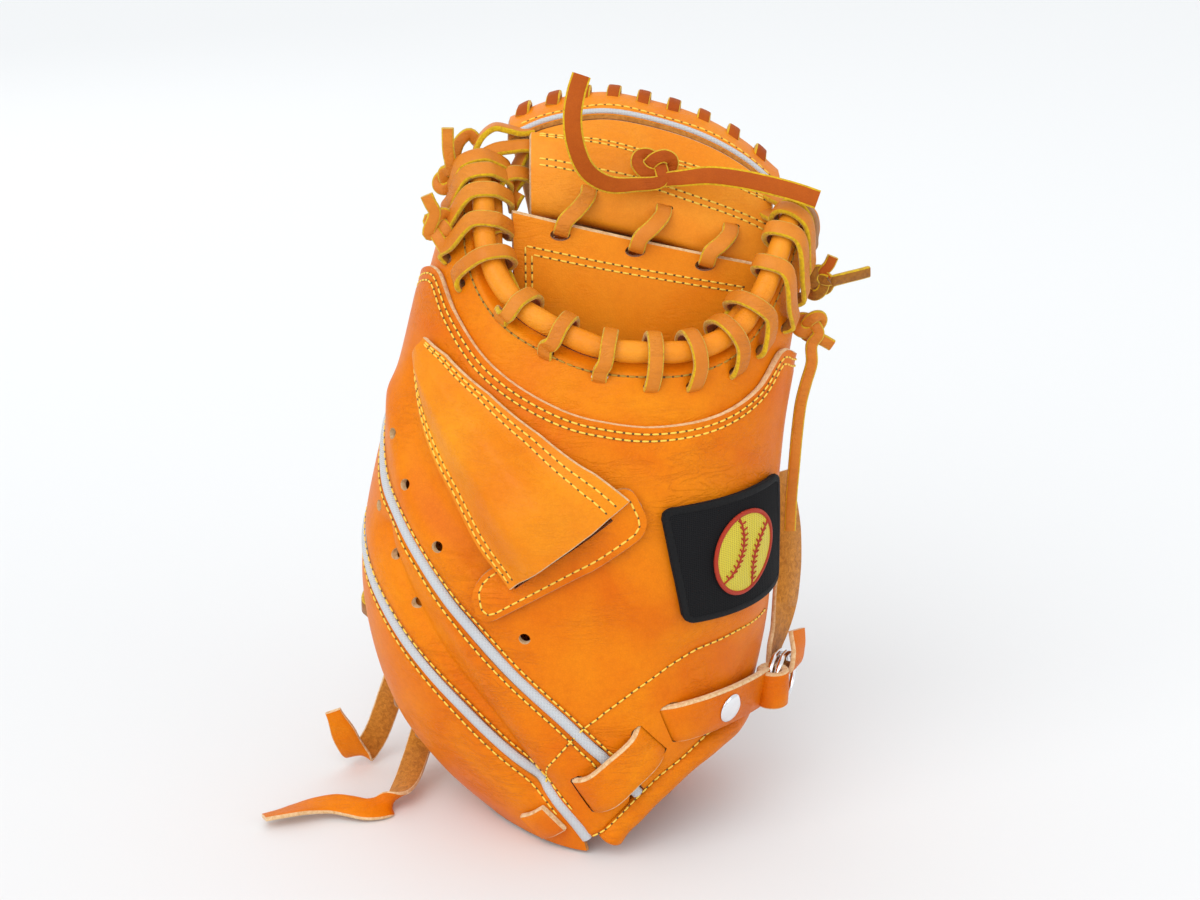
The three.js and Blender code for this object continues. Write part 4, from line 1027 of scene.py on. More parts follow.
def rollFrame(angle):
    # The way along the roll, and a spot beside its middle: outward and up by millimetres
    centre = onBack(angle, rollHeight(angle), roll["inset"])
    before = onBack(angle - 2, rollHeight(angle - 2), roll["inset"])
    after = onBack(angle + 2, rollHeight(angle + 2), roll["inset"])
    axis = unit(before - after)
    normal = backNormal(angle, rollHeight(angle))
    out = unit(normal - axis * np.dot(normal, axis))
    up = unit(np.cross(out, axis))
    if up[2] < 0:
        up = -up
    return axis, lambda n, b: centre + out * n + up * b


wrapReach = roll["radius"] + mitt["laceThick"] / 2 + 1.6
innerReach = roll["innerInset"] - roll["inset"] + roll["innerRadius"] + mitt["laceThick"] / 2 + 1.5


def lacePiece(name, node, parts, dark=False):
    addPiece(name, joined(parts), darkLaceFinishes if dark else laceFinishes, node, sharp=50)


def crotchWrap(angle, hole, onRoll):
    axis, spot = rollFrame(onRoll)
    points = [spot(-innerReach, -1), spot(-innerReach + 3, wrapReach - 2.2), spot(-4, wrapReach),
              spot(1.5, wrapReach - 0.9), spot(wrapReach - 0.4, 1), spot(wrapReach - 1.4, -6),
              onBack(angle, hole + 2.4, -0.3), onBack(angle, hole - 0.6, 2.6), onBack(angle, hole, 7.4),
              onBack(angle, hole + 1, 13.5)]
    return stripMesh(points, axis, mitt["laceWidth"] - 1.1, mitt["laceThick"] - 0.2, 52, closed=True)


runPoints = [rollFrame(onRoll)[1](-innerReach, -1) for _, _, onRoll in wraps]
lacePiece("crotch_lacing", "crotch_lace", [crotchWrap(*row) for row in wraps]
          + [stripMesh(runPoints, vec(0, 0, 1), 5, mitt["laceThick"], 60)])
print("crotch lacing made")

# Padded wrist edge
wristLine = [(86, 6.2), (80, 12.5), (73, 19), (66, 26), (58, 33.5), (48, 39.5), (38, 42), (26, 43), (12, 43),
             (-2, 42), (-14, 38), (-24, 34)]


def makeWristRoll():
    steps = 120
    radii = roundEnds(steps, 4, 0.15) * (1 + 0.02 * np.sin(np.arange(steps + 1) * 0.35))
    made = tubeMesh([onBack(a, z, 3.2) for a, z in wristLine], roll["wristRadius"], steps, 20, radii)
    piece = addPiece("wrist_edge_roll", made, ["tan"], "wrist_roll", sharp=60)
    rows = [(a, max(z + 3.2, float(seam("wristEdge", a)) + 1.6) + panels["edgeLift"])
            for a, z in [(98, 3.5), *wristLine[:-1]]]
    sewBack("back_stitches", rows)


makeWristRoll()

# Padded palm, a C round the pocket
palm = {
    "share": [(0, 0.2), (15, 0.3), (35, 0.43), (60, 0.52), (100, 0.58), (200, 0.6), (280, 0.62)],
    "lips": [(-31.5, -44.0), (211.5, 224.0)],       # where each lip starts to round and where it ends
    "drop": 26.0,
    "handDepth": 25.0,
}


def handRoom(angle, z):
    middle = hermite([(0, 62), (60, 74), (150, 94), (215, 100)], z)
    half = hermite([(0, 54), (100, 50), (215, 44)], z)
    depth = palm["handDepth"] * (1 - smooth(z, 150, 215) * 0.75)
    return depth * (1 - smooth(np.abs(angle - middle) / half, 0.5, 1))


def padPoint(u, v, side):
    (thumbStart, thumbEnd), (lipStart, lipEnd) = palm["lips"]
    angle = thumbEnd + (lipEnd - thumbEnd) * u
    held = np.clip(angle, mitt["thumbRim"], mitt["rimAngle"])
    top = np.minimum(np.minimum(seam("crotchEdge", held - 14), seam("crotchEdge", held)),
                     seam("crotchEdge", held + 14)) - palm["drop"]
    z = top * v**1.15
    under = smooth(z, seam("yokeSeam", held) - 22, seam("yokeSeam", held) - 13)
    wrist = seam("wristEdge", held)
    bay = (1 - smooth(z, wrist + 2, wrist + 26)) * (1 - smooth(angle, 86, 104))
    skin = (mitt["leather"] + mitt["lift"] + 1.2 + under * (mitt["leather"] + 0.6) + 7.5 * bay
            + 1.2 * np.maximum(0, -foldHeight(angle, z)))
    level = backNormal(angle, z) * [1, 1, 0]
    start = smoothBack(angle, z) - level * (skin / np.sum(level**2, axis=-1))[..., None]
    middle = np.stack([section("ridge", z), section("rim", z) - 6, z], axis=-1)
    share = hermite(palm["share"], z) * (1 + 0.12 * np.cos(np.radians(angle)) ** 2)
    reach = np.linalg.norm(start - middle, axis=-1)
    outer = start + (middle - start) * (handRoom(angle, z) / reach)[..., None]
    inner = (smoothBack(angle, z) - middle) * share[..., None] + middle
    rim = np.maximum(np.maximum(angle - lipStart, thumbStart - angle), 0) / (lipEnd - lipStart)
    crown = np.maximum(v - 0.93, 0) / 0.07
    thin = (np.sqrt(np.maximum(1 - np.minimum(rim, 1) ** 2, 0.02))
            * np.sqrt(np.maximum(1 - crown**2, 0.15)))[..., None]
    heart = (outer + inner) / 2
    return ((outer if side == "outer" else inner) - heart) * thin + heart


def makePalm():
    def bent(u):
        return u + 0.012 * np.sin(2 * math.pi * u)
    def outer(u, v):
        return padPoint(bent(u), v, "outer")
    def inner(u, v):
        points = padPoint(bent(u), v, "inner")
        wave = (0.5 * np.sin(u * 31 + v * 9) * np.sin(v * 17 - u * 6) + 0.28 * np.sin(u * 70 - v * 33))
        wave = wave * smooth(v, 0.05, 0.2) * smooth(u, 0.04, 0.12) * smooth(1 - u, 0.04, 0.12)
        along = unit(np.gradient(points, axis=0))
        upward = unit(np.gradient(points, axis=1))
        return points - unit(np.cross(along, upward)) * wave[..., None]
    points, faces, slots = sheetMesh(outer, inner, 190, 96, closeEdge=0.25)
    points[:, 2] = np.maximum(points[:, 2], 0.2)
    piece = addPiece("palm_leather", (points, faces, slots), ["palm", "palm", "palm"],
                     "palm_pad", sharp=70)


makePalm()
print("palm made")

# Finger hood: flat sewn flanges, a taut raised top and an open mouth below
hood = {
    "left": [(154, 200), (147, 190), (140, 179), (126, 158), (115, 138), (107, 124)],
    "right": [(149, 211), (137, 207), (119, 196), (103, 183), (90, 170), (81, 159)],
    "height": 10.0,
    "mouthHang": 5.6,       # the middle of the mouth hangs this far over the strip
    "wall": 2.5,
    "leftFlange": 0.13,
    "rightFlange": 0.86,
}


def readRow(rows, t):
    rows = np.array(rows, float)
    where = np.clip(t, 0, 1) * (len(rows) - 1)
    i = np.minimum(where.astype(int), len(rows) - 2)
    f = (where - i)[..., None]
    return rows[i] * (1 - f) + rows[i + 1] * f


def hoodPoint(u, v, raised):
    a, b = readRow(hood["left"], v), readRow(hood["right"], v)
    spot = a + (b - a) * u[..., None]
    rise = smooth(u, hood["leftFlange"] - 0.02, 0.42) * (1 - smooth(u, 0.62, hood["rightFlange"] + 0.02))
    bulge = hood["height"] * rise**0.85 * (0.10 + 0.90 * v**0.8)
    overStrip = 3.4 * smooth(v, 0.62, 0.84)
    sag = 0.5 * np.sin(v * 7 + u * 4) * rise
    hang = hood["mouthHang"] * np.sin(math.pi * u) ** 0.8 * v**4
    bulge = bulge * (1 - 0.35 * smooth(v, 0.75, 1.0))
    return onBack(spot[..., 0] + 0.55 * hang, spot[..., 1] - 0.7 * hang,
                  -(mitt["lift"] + 0.5 + raised + bulge + overStrip + sag))


def makeHood():
    def outer(u, v):
        return hoodPoint(u, v, hood["wall"])
    addPiece("finger_hood_leather", sheetMesh(outer, lambda u, v: hoodPoint(u, v, 0.0), 70, 90),
             ["hood", "rawEdge", "flesh"], "finger_hood")
    v = np.linspace(0.03, 0.975, 60)
    for place in (0.045, 0.105, 0.885, 0.945):
        u = np.full(len(v), place)
        line = outer(u, v)
        outs = unit(np.cross(np.gradient(line, axis=0), outer(u + 0.02, v) - outer(u - 0.02, v)))
        sew("hood_stitches", line, outs * np.sign(np.sum(outs * vec(0, -1, 0.3), axis=1, keepdims=True)))


makeHood()
print("finger hood made")


# Pieces laid on the back with rounded corners
def cornerSpot(shape, u, v):
    a, b, c, d = (np.array(q, float) for q in shape["corners"])
    low = a + (b - a) * v[..., None]
    return low + (d + (c - d) * v[..., None] - low) * u[..., None]


def roundedSpot(shape, u, v):
    # v runs along the length. The width shrinks near both ends, so that the corners are round
    radius = shape["radius"]
    fromEnd = np.minimum(v, 1 - v) * shape["length"]
    cut = radius - np.sqrt(np.maximum(radius**2 - (radius - np.minimum(fromEnd, radius)) ** 2, 0))
    return cornerSpot(shape, 0.5 + (u - 0.5) * (1 - 2 * cut / shape["width"]), v)


def laidPatch(name, node, materials, shape, levels, steps, dome=0.0):
    # Levels: how high the face and the back lie over the mitt's back. Rows crowd near the ends
    def face(level, crown):
        def at(u, v):
            spot = roundedSpot(shape, u, v - 0.09 * np.sin(2 * math.pi * v))
            rise = crown * (1 - (2 * u - 1) ** 4) * (1 - (2 * v - 1) ** 4)
            return onBack(spot[..., 0], spot[..., 1], -mitt["lift"] - level - rise)
        return at
    made = sheetMesh(face(levels[0], dome), face(levels[1], 0.0), *steps)
    return addPiece(name, made, materials, node)


def borderLine(shape, margin, level):
    # Closed line of points and outward directions inside the patch's edge
    corner = max(shape["radius"] - margin, 0.5)
    long, wide = shape["length"] - 2 * margin, shape["width"] - 2 * margin
    turns = []
    far, high = long - corner, wide - corner
    for cx, cy, start in ((far, high, 0), (corner, high, 90), (corner, corner, 180), (far, corner, 270)):
        for k in range(7):
            a = math.radians(start + 15 * k)
            turns.append((margin + cx + corner * math.cos(a), margin + cy + corner * math.sin(a)))
    flat = evenly(np.array(turns + turns[:1]), 2 * (long + wide) / 160)
    spot = cornerSpot(shape, flat[:, 1] / shape["width"], flat[:, 0] / shape["length"])
    return onBack(spot[:, 0], spot[:, 1], -mitt["lift"] - level), backNormal(spot[:, 0], spot[:, 1])


strip = {
    "corners": [(115, 106), (74, 147), (81, 166), (117, 124)],
    "length": 62.0,
    "width": 20.0,
    "radius": 6.5,
}
stripPiece = laidPatch("slot_strip_leather", "slot_strip", darkEdged, strip, (2.6, 0.6),
                       (24, 70), 0.3)
cutAway(stripPiece, [slitCutter], "tanEdge")
sew("strip_stitches", *borderLine(strip, 2.6, 2.75))

patch = {
    "corners": [(63, 106), (8, 103), (23, 156), (72, 154)],
    "length": 56.0,
    "width": 51.0,
    "radius": 4.0,
    "face": 2.2,
    "badge": (41, 130),
    "badgeRadius": 17.5,
    "badgeLean": -18.0,
}


def makePatch():
    laidPatch("patch_cloth", "back_patch", ["patchCloth", "patchBorder", "patchCloth"], patch,
              (patch["face"], 0.2), (40, 40))
    line, outs = borderLine(patch, 1.3, patch["face"])
    along = unit(np.roll(line, -1, axis=0) - np.roll(line, 1, axis=0))[:-1]
    wide = unit(np.cross(outs[:-1], along))
    edge = sweepMesh(line[:-1], wide, np.cross(along, wide), oval(1.35, 0.45, 10), closed=True)
    addPiece("patch_border", edge, ["patchBorder"])


def makeBadge():
    # A plain embroidered baseball: gold disc, red outline and two curved rows of red seam stitches
    out = backNormal(*patch["badge"])
    middle = onBack(*patch["badge"], -mitt["lift"] - patch["face"])
    side, up = sideAndUp(out)
    lean = math.radians(patch["badgeLean"])
    side, up = side * math.cos(lean) + up * math.sin(lean), up * math.cos(lean) - side * math.sin(lean)
    big = patch["badgeRadius"] - 0.9
    def spot(x, y, rise):
        # The patch bends away under the disc, so the disc follows it
        return middle + side * x + up * y + out * (rise - x * x / 190 - y * y / 900)
    def lift(x, y):
        return 0.7 + 1.2 * (1 - min(math.hypot(x, y) / big, 1) ** 4)
    rings, sides = 12, 72
    turn = [(math.cos(a), math.sin(a)) for a in np.arange(sides) * 2 * math.pi / sides]
    points = [spot(0, 0, lift(0, 0))]
    for r in range(1, rings + 1):
        reach = big * r / rings
        points += [spot(reach * c, reach * s, lift(reach * c, reach * s)) for c, s in turn]
    points += [spot(big * c, big * s, -0.3) for c, s in turn] + [middle + out * -0.3]
    faces = [(0, 1 + k, 1 + (k + 1) % sides) for k in range(sides)]
    for r in range(rings):
        base, outside = 1 + r * sides, 1 + (r + 1) * sides
        faces += [(base + k, outside + k, outside + (k + 1) % sides, base + (k + 1) % sides)
                  for k in range(sides)]
    low = 1 + rings * sides
    faces += [(low + (k + 1) % sides, low + k, len(points) - 1) for k in range(sides)]
    addPiece("badge_disc", (points, faces, None), ["goldThread"], "patch_badge", sharp=60)

    rim = np.array([spot((big + 0.2) * c, (big + 0.2) * s, 0.55) for c, s in turn])
    parts = [tubeRing(rim, out, 1.0, 0.85)]
    for sign in (-1, 1):
        arc = [(sign * (4.2 + 5.0 * t * t), t * big * 0.80) for t in np.linspace(-1, 1, 25)]
        parts.append(plainTube(np.array([spot(x, y, lift(x, y) + 0.1) for x, y in arc]), 0.42))
        for x, y in arc[2:-2:2]:
            a = spot(x, y, lift(x, y) + 0.12)
            for tilt in (-1.9, 1.9):
                b = spot(x + tilt, y + 1.3, lift(x + tilt, y + 1.3) + 0.12)
                parts.append(plainTube(np.array([a, (a + b) / 2 + out * 0.1, b]), 0.34))
    addPiece("badge_outline", joined(parts), ["redThread"], sharp=60)


makePatch()
makeBadge()
print("patch and badge made")


# Wrist belt, its rivet and the two rings in its folded end
buckle = {
    "heart": vec(76, 52, 56.5),
    "side": unit(vec(0.42, 0.9, 0)),
    "out": unit(vec(0.9, -0.42, 0)),
    "radius": 10.6,
    "wire": 1.3,
    "rings": [("buckle_ring_near", "ring_near", 1.7), ("buckle_ring_far", "ring_far", -1.7)],
    "foldRadius": 5.2,      # of the belt's end round the rings
}
heelTab = {"rows": [(122, 10.5, -1.6), (116, 14, -1.9), (110, 18.5, -1.7)], "width": 14, "thick": 2.4}


def turnStrip(middle, axis, radius, width, thick, steps):
    # A strip bent round to a closed loop
    a = unit(np.cross(axis, vec(1, 0, 0)))
    b = unit(np.cross(axis, a))
    points = [middle + a * radius * math.cos(t) + b * radius * math.sin(t)
              for t in np.arange(12) * 2 * math.pi / 12]
    return stripMesh(points, axis, width, thick, steps, closed=True)


def makeBelt():
    main = backStrip(belt["rows"], belt["width"], belt["thick"], 130)
    fold = turnStrip(buckle["heart"] - buckle["side"] * (buckle["radius"] - 0.6), vec(0, 0, 1),
                     buckle["foldRadius"], belt["width"] - 2, belt["thick"], 40)
    addPiece("wrist_belt_leather", joined([main, fold]), paleEdged, "wrist_belt", sharp=45)
    tab = backStrip(heelTab["rows"], heelTab["width"], heelTab["thick"], 24)
    addPiece("heel_tab_leather", tab, paleEdged, "heel_tab", sharp=45)


def makeRivet():
    # Rows: radius and height of the domed cap, from the middle of its foot to the middle of its top
    rows = [(0.0, -0.2), (5.9, -0.2), (6.2, 0.15), (6.0, 0.55), (4.8, 1.15), (3.0, 1.5), (1.4, 1.62),
            (0.0, 1.65)]
    angle, z, level = belt["rivet"]
    out = backNormal(angle, z)
    side, up = sideAndUp(out)
    middle = onBack(angle, z, level - belt["thick"] / 2 - mitt["seat"])
    sides = 40
    turn = [side * math.cos(a) + up * math.sin(a) for a in np.arange(sides) * 2 * math.pi / sides]
    points = [middle + out * rows[0][1]]
    points += [middle + way * r + out * h for r, h in rows[1:-1] for way in turn]
    points.append(middle + out * rows[-1][1])
    faces = []
    for k in range(sides):
        n = (k + 1) % sides
        faces.append((0, 1 + n, 1 + k))
        for low in range(1, 1 + (len(rows) - 3) * sides, sides):
            faces.append((low + k, low + n, low + sides + n, low + sides + k))
        low = len(points) - 1 - sides
        faces.append((low + k, low + n, len(points) - 1))
    addPiece("belt_rivet_cap", (points, faces, None), ["chrome"], "belt_rivet", sharp=50)


def makeRings():
    for node, name, shift in buckle["rings"]:
        centre = buckle["heart"] + buckle["out"] * shift
        turns = np.arange(64) * 2 * math.pi / 64
        hoop = np.array([centre + vec(0, 0, 1) * buckle["radius"] * math.cos(t)
                         + buckle["side"] * buckle["radius"] * math.sin(t) for t in turns])
        made = tubeRing(hoop, buckle["out"], buckle["wire"], buckle["wire"], 14)
        addPiece(name, made, ["chrome"], node, sharp=60)


# Thumb strap drawn through the rings
thumbStrap = {
    "points": [(75, 84, 136), (77, 81, 126), (79, 78, 113), (79.5, 75, 98), (78.5, 71, 85), (76, 64.5, 74),
               (73.2, 58.3, 66), (73.4, 56.3, 61), (77.2, 54.6, 59), (81.4, 52.6, 61), (83, 53.8, 68),
               (82.4, 56.4, 76)],
    "across": [(0.6, 0.8, 0.1), (0.7, 0.7, 0.1), (0.75, 0.65, 0), (0.75, 0.65, 0), (0.7, 0.7, 0),
               (0.55, 0.83, 0), *[(0.42, 0.9, 0)] * 5, (0.5, 0.85, 0)],
    "width": 15,
    "thick": 2.2,
    "narrowing": 0.24,      # share of the width that is lost towards the rings
    "steps": 120,
}


def makeThumbStrap():
    steps = thumbStrap["steps"]
    narrow = np.ones((steps + 1, 2))
    narrow[:, 0] -= thumbStrap["narrowing"] * smooth(np.arange(steps + 1) / steps, 0.35, 0.6)
    made = stripMesh(thumbStrap["points"], thumbStrap["across"], thumbStrap["width"], thumbStrap["thick"],
                     steps, scale=narrow, flip=True)
    addPiece("thumb_strap_leather", made, suedeBacked, "thumb_strap", sharp=45)


makeBelt()
makeRivet()
makeRings()
makeThumbStrap()
print("belt and rings made")

# Web: lower panel, folded strap above it and the arched front that faces the pocket
web = {
    "bow": 3.0,
    "top": (vec(-34, 49.5, 257), vec(62.6, 52, 234.8)),
    "foot": (vec(-33.4, 46, 210.5), vec(56, 48, 200)),
    "size": (95.0, 40.5),
    "wall": 3.0,
    # depth, drop, share of the rise from the strap's own top line to the arched front
    "strapFold": [(70.4, 7.2, 1), (69, 6.4, 0.62), (67, 5, 0.2), (65, 5.8, 0), (62.5, 10, 0), (59.5, 17, 0),
                  (57.4, 24, 0), (56.4, 30, 0), (57, 34.5, 0), (60, 37, 0), (65, 37, 0), (69, 34, 0)],
    "strapWall": 3.2,
    "frontTop": [(-37, 286), (-21, 293), (0, 296.5), (18, 294), (40, 287), (58, 277), (73, 264)],
    "frontFold": [(71.6, 5.4, 0), (76, 3.0, 0), (84, 0.5, 0), (90, 0.2, 0), (95.5, 4, 0), (94, 20, 0),
                  (88, 42, 0), (76, 64, 0), (64, 80, 0), (58, 92, 0)],
    "pipingDepth": 72.8,
    "pipingDrop": 4.3,
    "strapRows": (0.20, 0.235, 0.41, 0.44),     # double rows of thread, as shares of the fold
    "frontRows": (0.12,),
    "bumps": (-30, -18, -6, 6, 18, 30, 42, 54, 65),
    "tieHoles": [(-15, 249.4), (14.3, 243), (41.8, 236.8)],
    "tieTops": [(-4.4, 264.2), (25, 257), (51.4, 249)],
}


def lowerSpot(u, v, through=0.0):
    u, v = np.asarray(u, float), np.asarray(v, float)
    foot = web["foot"][0] + (web["foot"][1] - web["foot"][0]) * u[..., None]
    top = web["top"][0] + (web["top"][1] - web["top"][0]) * u[..., None]
    p = foot + (top - foot) * v[..., None]
    p[..., 1] += through - web["bow"] * np.sin(math.pi * u)
    return p


def bowAt(x):
    return web["bow"] * math.sin(math.pi * min(max((x + 30) / 94, 0), 1))


def lowerDepth(x):
    return 51.5 + (2.5 * (x + 34)) / 96 - bowAt(x)


def strapDepth(x):
    return 58 - bowAt(x)


def strapTop(x):
    return 294 - 0.3 * (x + 24) - 0.0022 * (x - 22) ** 2


def frontTop(x):
    return hermite(web["frontTop"], x)


def foldedFace(rows, topLine, limits, bow, back):
    # Rows run over the fold: depth, drop below the top line, and how far the row follows the arched front
    table = catmull(rows, 110)
    def spot(u, place):
        y, drop, reach = (np.interp(place, np.arange(len(table)), table[:, k]) for k in (0, 1, 2))
        low, high = limits(place / (len(table) - 1) * (len(rows) - 1))
        x = low + (high - low) * u
        z = topLine(x) + (frontTop(x) - topLine(x)) * reach - drop
        return x, y - bow * (1 - np.clip(reach, 0, 1)) * np.sin(math.pi * u), z
    def at(u, v):
        place = np.clip(v, 0, 1) * (len(table) - 1)
        x, y, z = spot(u, place)
        if back == 0:
            z = z + 0.35 * np.sin(x * 0.16 + v * 5) * np.sin(v * 9)
            return np.stack([x, y, z], axis=-1)
        _, y0, z0 = spot(u, np.maximum(place - 0.6, 0))
        _, y1, z1 = spot(u, np.minimum(place + 0.6, len(table) - 1))
        size = np.hypot(y1 - y0, z1 - z0)
        return np.stack([x, y - back * (z1 - z0) / size, z + back * (y1 - y0) / size], axis=-1)
    return at


def strapLimits(row):
    return -27.0, 68.0


def frontLimits(row):
    return -36 + 10 * smooth(row, 4, 7), 72 - 30 * smooth(row, 4, 7)


def sewFold(face, levels, ends, count, outward):
    # Rows of thread along a folded face, at shares of its length over the fold
    u = np.linspace(*ends, count)
    for level in levels:
        line = face(u, level + 0 * u)
        outs = np.cross(np.gradient(line, axis=0), face(u, level + 0.02 + 0 * u) - line)
        sew("web_stitches", line, unit(outs * np.sign(np.sum(outs * outward, axis=1, keepdims=True))))


def sewLowerPanel():
    # Double border along the top and both sides
    wide, tall = web["size"]
    outward = vec(0, -1, 0.05)
    for deep in (10.5, 13.1):
        inside = (deep - 10.5) / 92
        u = np.linspace(0.05 + inside, 0.955 - inside, 60)
        line = lowerSpot(u, 1 - deep / tall + 0 * u, -0.05)
        line[:, 1] += 0.4 * np.sin(u * 8 + 2.2) * np.sin(math.pi * u)
        sew("web_stitches", line, outward)
    for beside in (4.6, 7.2):
        v = np.linspace(1 - (10.5 + beside - 4.6) / tall, 0.12, 24)
        for edge in (beside / wide, 1 - beside / wide):
            sew("web_stitches", lowerSpot(edge + 0 * v, v, -0.05), outward)


def makeWeb():
    def bent(u, v, through):
        p = lowerSpot(u, v, through)
        if through == 0:
            p[..., 1] += 0.4 * np.sin(u * 8 + v * 3) * np.sin(math.pi * u)
        return p
    lower = addPiece("web_lower_leather",
                     sheetMesh(lambda u, v: bent(u, v, 0), lambda u, v: bent(u, v, web["wall"]), 80, 40),
                     ["web", "rawEdge", "flesh"], "web_lower_panel")
    cutAway(lower, [punchAt(vec(x - 0.5, lowerDepth(x), z - 0.9), vec(0, 1, 0), 4.0, 14, 0.6)
                    for x, z in web["tieHoles"]], "tanEdge")
    sewLowerPanel()

    strapFace = foldedFace(web["strapFold"], strapTop, strapLimits, web["bow"], 0)
    strapBack = foldedFace(web["strapFold"], strapTop, strapLimits, web["bow"], web["strapWall"])
    folded = addPiece("web_strap_leather", sheetMesh(strapFace, strapBack, 80, 70),
                      ["webTop", "rawEdge", "flesh"], "web_strap")
    cutAway(folded, [punchAt(vec(x + 0.2, strapDepth(x), z + 0.2), unit(vec(0, 1, 0.15)), 3.5, 9, 0.36)
                     for x, z in web["tieTops"]], "tanEdge")
    sewFold(strapFace, web["strapRows"], (0.03, 0.97), 60, vec(0, -1, 1))

    frontFace = foldedFace(web["frontFold"], frontTop, frontLimits, 0, 0)
    frontBack = foldedFace(web["frontFold"], frontTop, frontLimits, 0, -3)
    addPiece("web_front_leather", sheetMesh(frontFace, frontBack, 90, 80), ["web", "tanEdge", "flesh"],
             "web_front")
    sewFold(frontFace, web["frontRows"], (0.04, 0.96), 80, vec(0, -0.3, 1))

    x = np.linspace(-33, 69, 90)
    line = np.stack([x, np.full(90, web["pipingDepth"]), frontTop(x) - web["pipingDrop"]], axis=1)
    addPiece("web_piping", plainTube(line, 1.1, 10), ["piping"], "web_welt", sharp=60)


def makeWebLacing():
    loops = []
    for x in web["bumps"]:
        top = float(frontTop(x))
        lean = float(frontTop(x + 2) - frontTop(x - 2)) / 4
        points = [(x - 1.2, 83.6, top - 1.6), (x - 0.6, 86, top + 1.1), (x, 91, top + 1.7),
                  (x, 96.4, top - 0.8), (x, 97.6, top - 7)]
        loops.append(stripMesh(points, unit(vec(1, 0, lean)), 5.4, 2.0, 22, flip=True))
    run = [vec(x, 97.6, float(frontTop(x)) - 7) for x in web["bumps"]]
    loops.append(stripMesh(run, vec(0, 0, 1), 4.6, 2.2, 60))
    lacePiece("web_rim_lacing", "web_rim_lace", loops, dark=True)
    for i, ((x, z), (tx, tz)) in enumerate(zip(web["tieHoles"], web["tieTops"])):
        y, ty = lowerDepth(x), strapDepth(tx)
        points = [(x, y + 1, z - 1), (x, y - 4.4, z + 0.5), (x + 1.5, y - 5, z + 5),
                  ((x + tx) / 2 + 1, y - 3, (z + tz) / 2 + 2), (tx - 0.5, ty - 3.6, tz - 1.5),
                  (tx, ty + 1, tz + 0.6), (tx, ty + 8, tz - 2), ((x + tx) / 2, ty + 14, (z + tz) / 2 + 1),
                  (x, ty + 9, z - 6), (x, y + 6, z - 4)]
        lacePiece(f"web_tie_lace_{i + 1}", f"web_tie_{i + 1}",
                  [stripMesh(points, unit(vec(1, 0, -0.3)), 6.4, 2.2, 60, closed=True, flip=True)])


makeWeb()
makeWebLacing()
print("web made")


# Overhand knots: a lace led over and under itself, with free ends. Open is the angle left at both ends,
# and over is how far the lace rises and sinks where it crosses itself
knotShape = {"open": 0.55, "over": 1.55, "points": 15}


def knotLine(middle, right, up, size):
    out = np.cross(right, up)
    turns = [(t, math.sin(t) + 2 * math.sin(2 * t), math.cos(t) - 2 * math.cos(2 * t))
             for t in np.linspace(math.pi + knotShape["open"], 3 * math.pi - knotShape["open"],
                                  knotShape["points"])]
    return [middle + right * x * size + up * y * size - out * math.sin(3 * t) * knotShape["over"]
            for t, x, y in turns]


def knotLace(row):
    # Width lies in the plane of the knot, and turns into each tail's own direction
    right, up = unit(vec(*row["right"])), unit(vec(*row["up"]))
    left, tail, steps = row["left"], row["tail"], row["steps"]
    points = [*reversed(left), *knotLine(vec(*row["middle"]), right, up, row["size"]), *tail]
    line = catmull(points, steps)
    direction = unit(np.gradient(line, axis=0))
    wide = unit(np.cross(direction, unit(np.cross(right, up))))
    for k in range(1, len(wide)):
        if np.dot(wide[k], wide[k - 1]) < 0:
            wide[k] = -wide[k]
    for _ in range(6):
        wide[1:-1] = unit(wide[:-2] + 2 * wide[1:-1] + wide[2:])
    wide = unit(wide - direction * np.sum(wide * direction, axis=1, keepdims=True))
    through = -np.cross(direction, wide)
    scale = np.ones((steps + 1, 2))
    if "tailWidth" in row:
        run = np.arange(steps + 1) / steps
        start, stop = len(left) / len(points), 1 - len(tail) / len(points)
        bulk = smooth(run, start * 0.6, start * 1.05)
        bulk *= 1 - smooth(run, stop * 0.97, stop + (1 - stop) * 0.4)
        wider = row["tailWidth"] / row["width"]
        scale[:, 0] = wider + (1 - wider) * bulk
    profile = stripProfile(row["width"], mitt["laceThick"] - 0.2)
    return sweepMesh(line, wide, through, profile, scale=scale, slotOf=stripSlots)


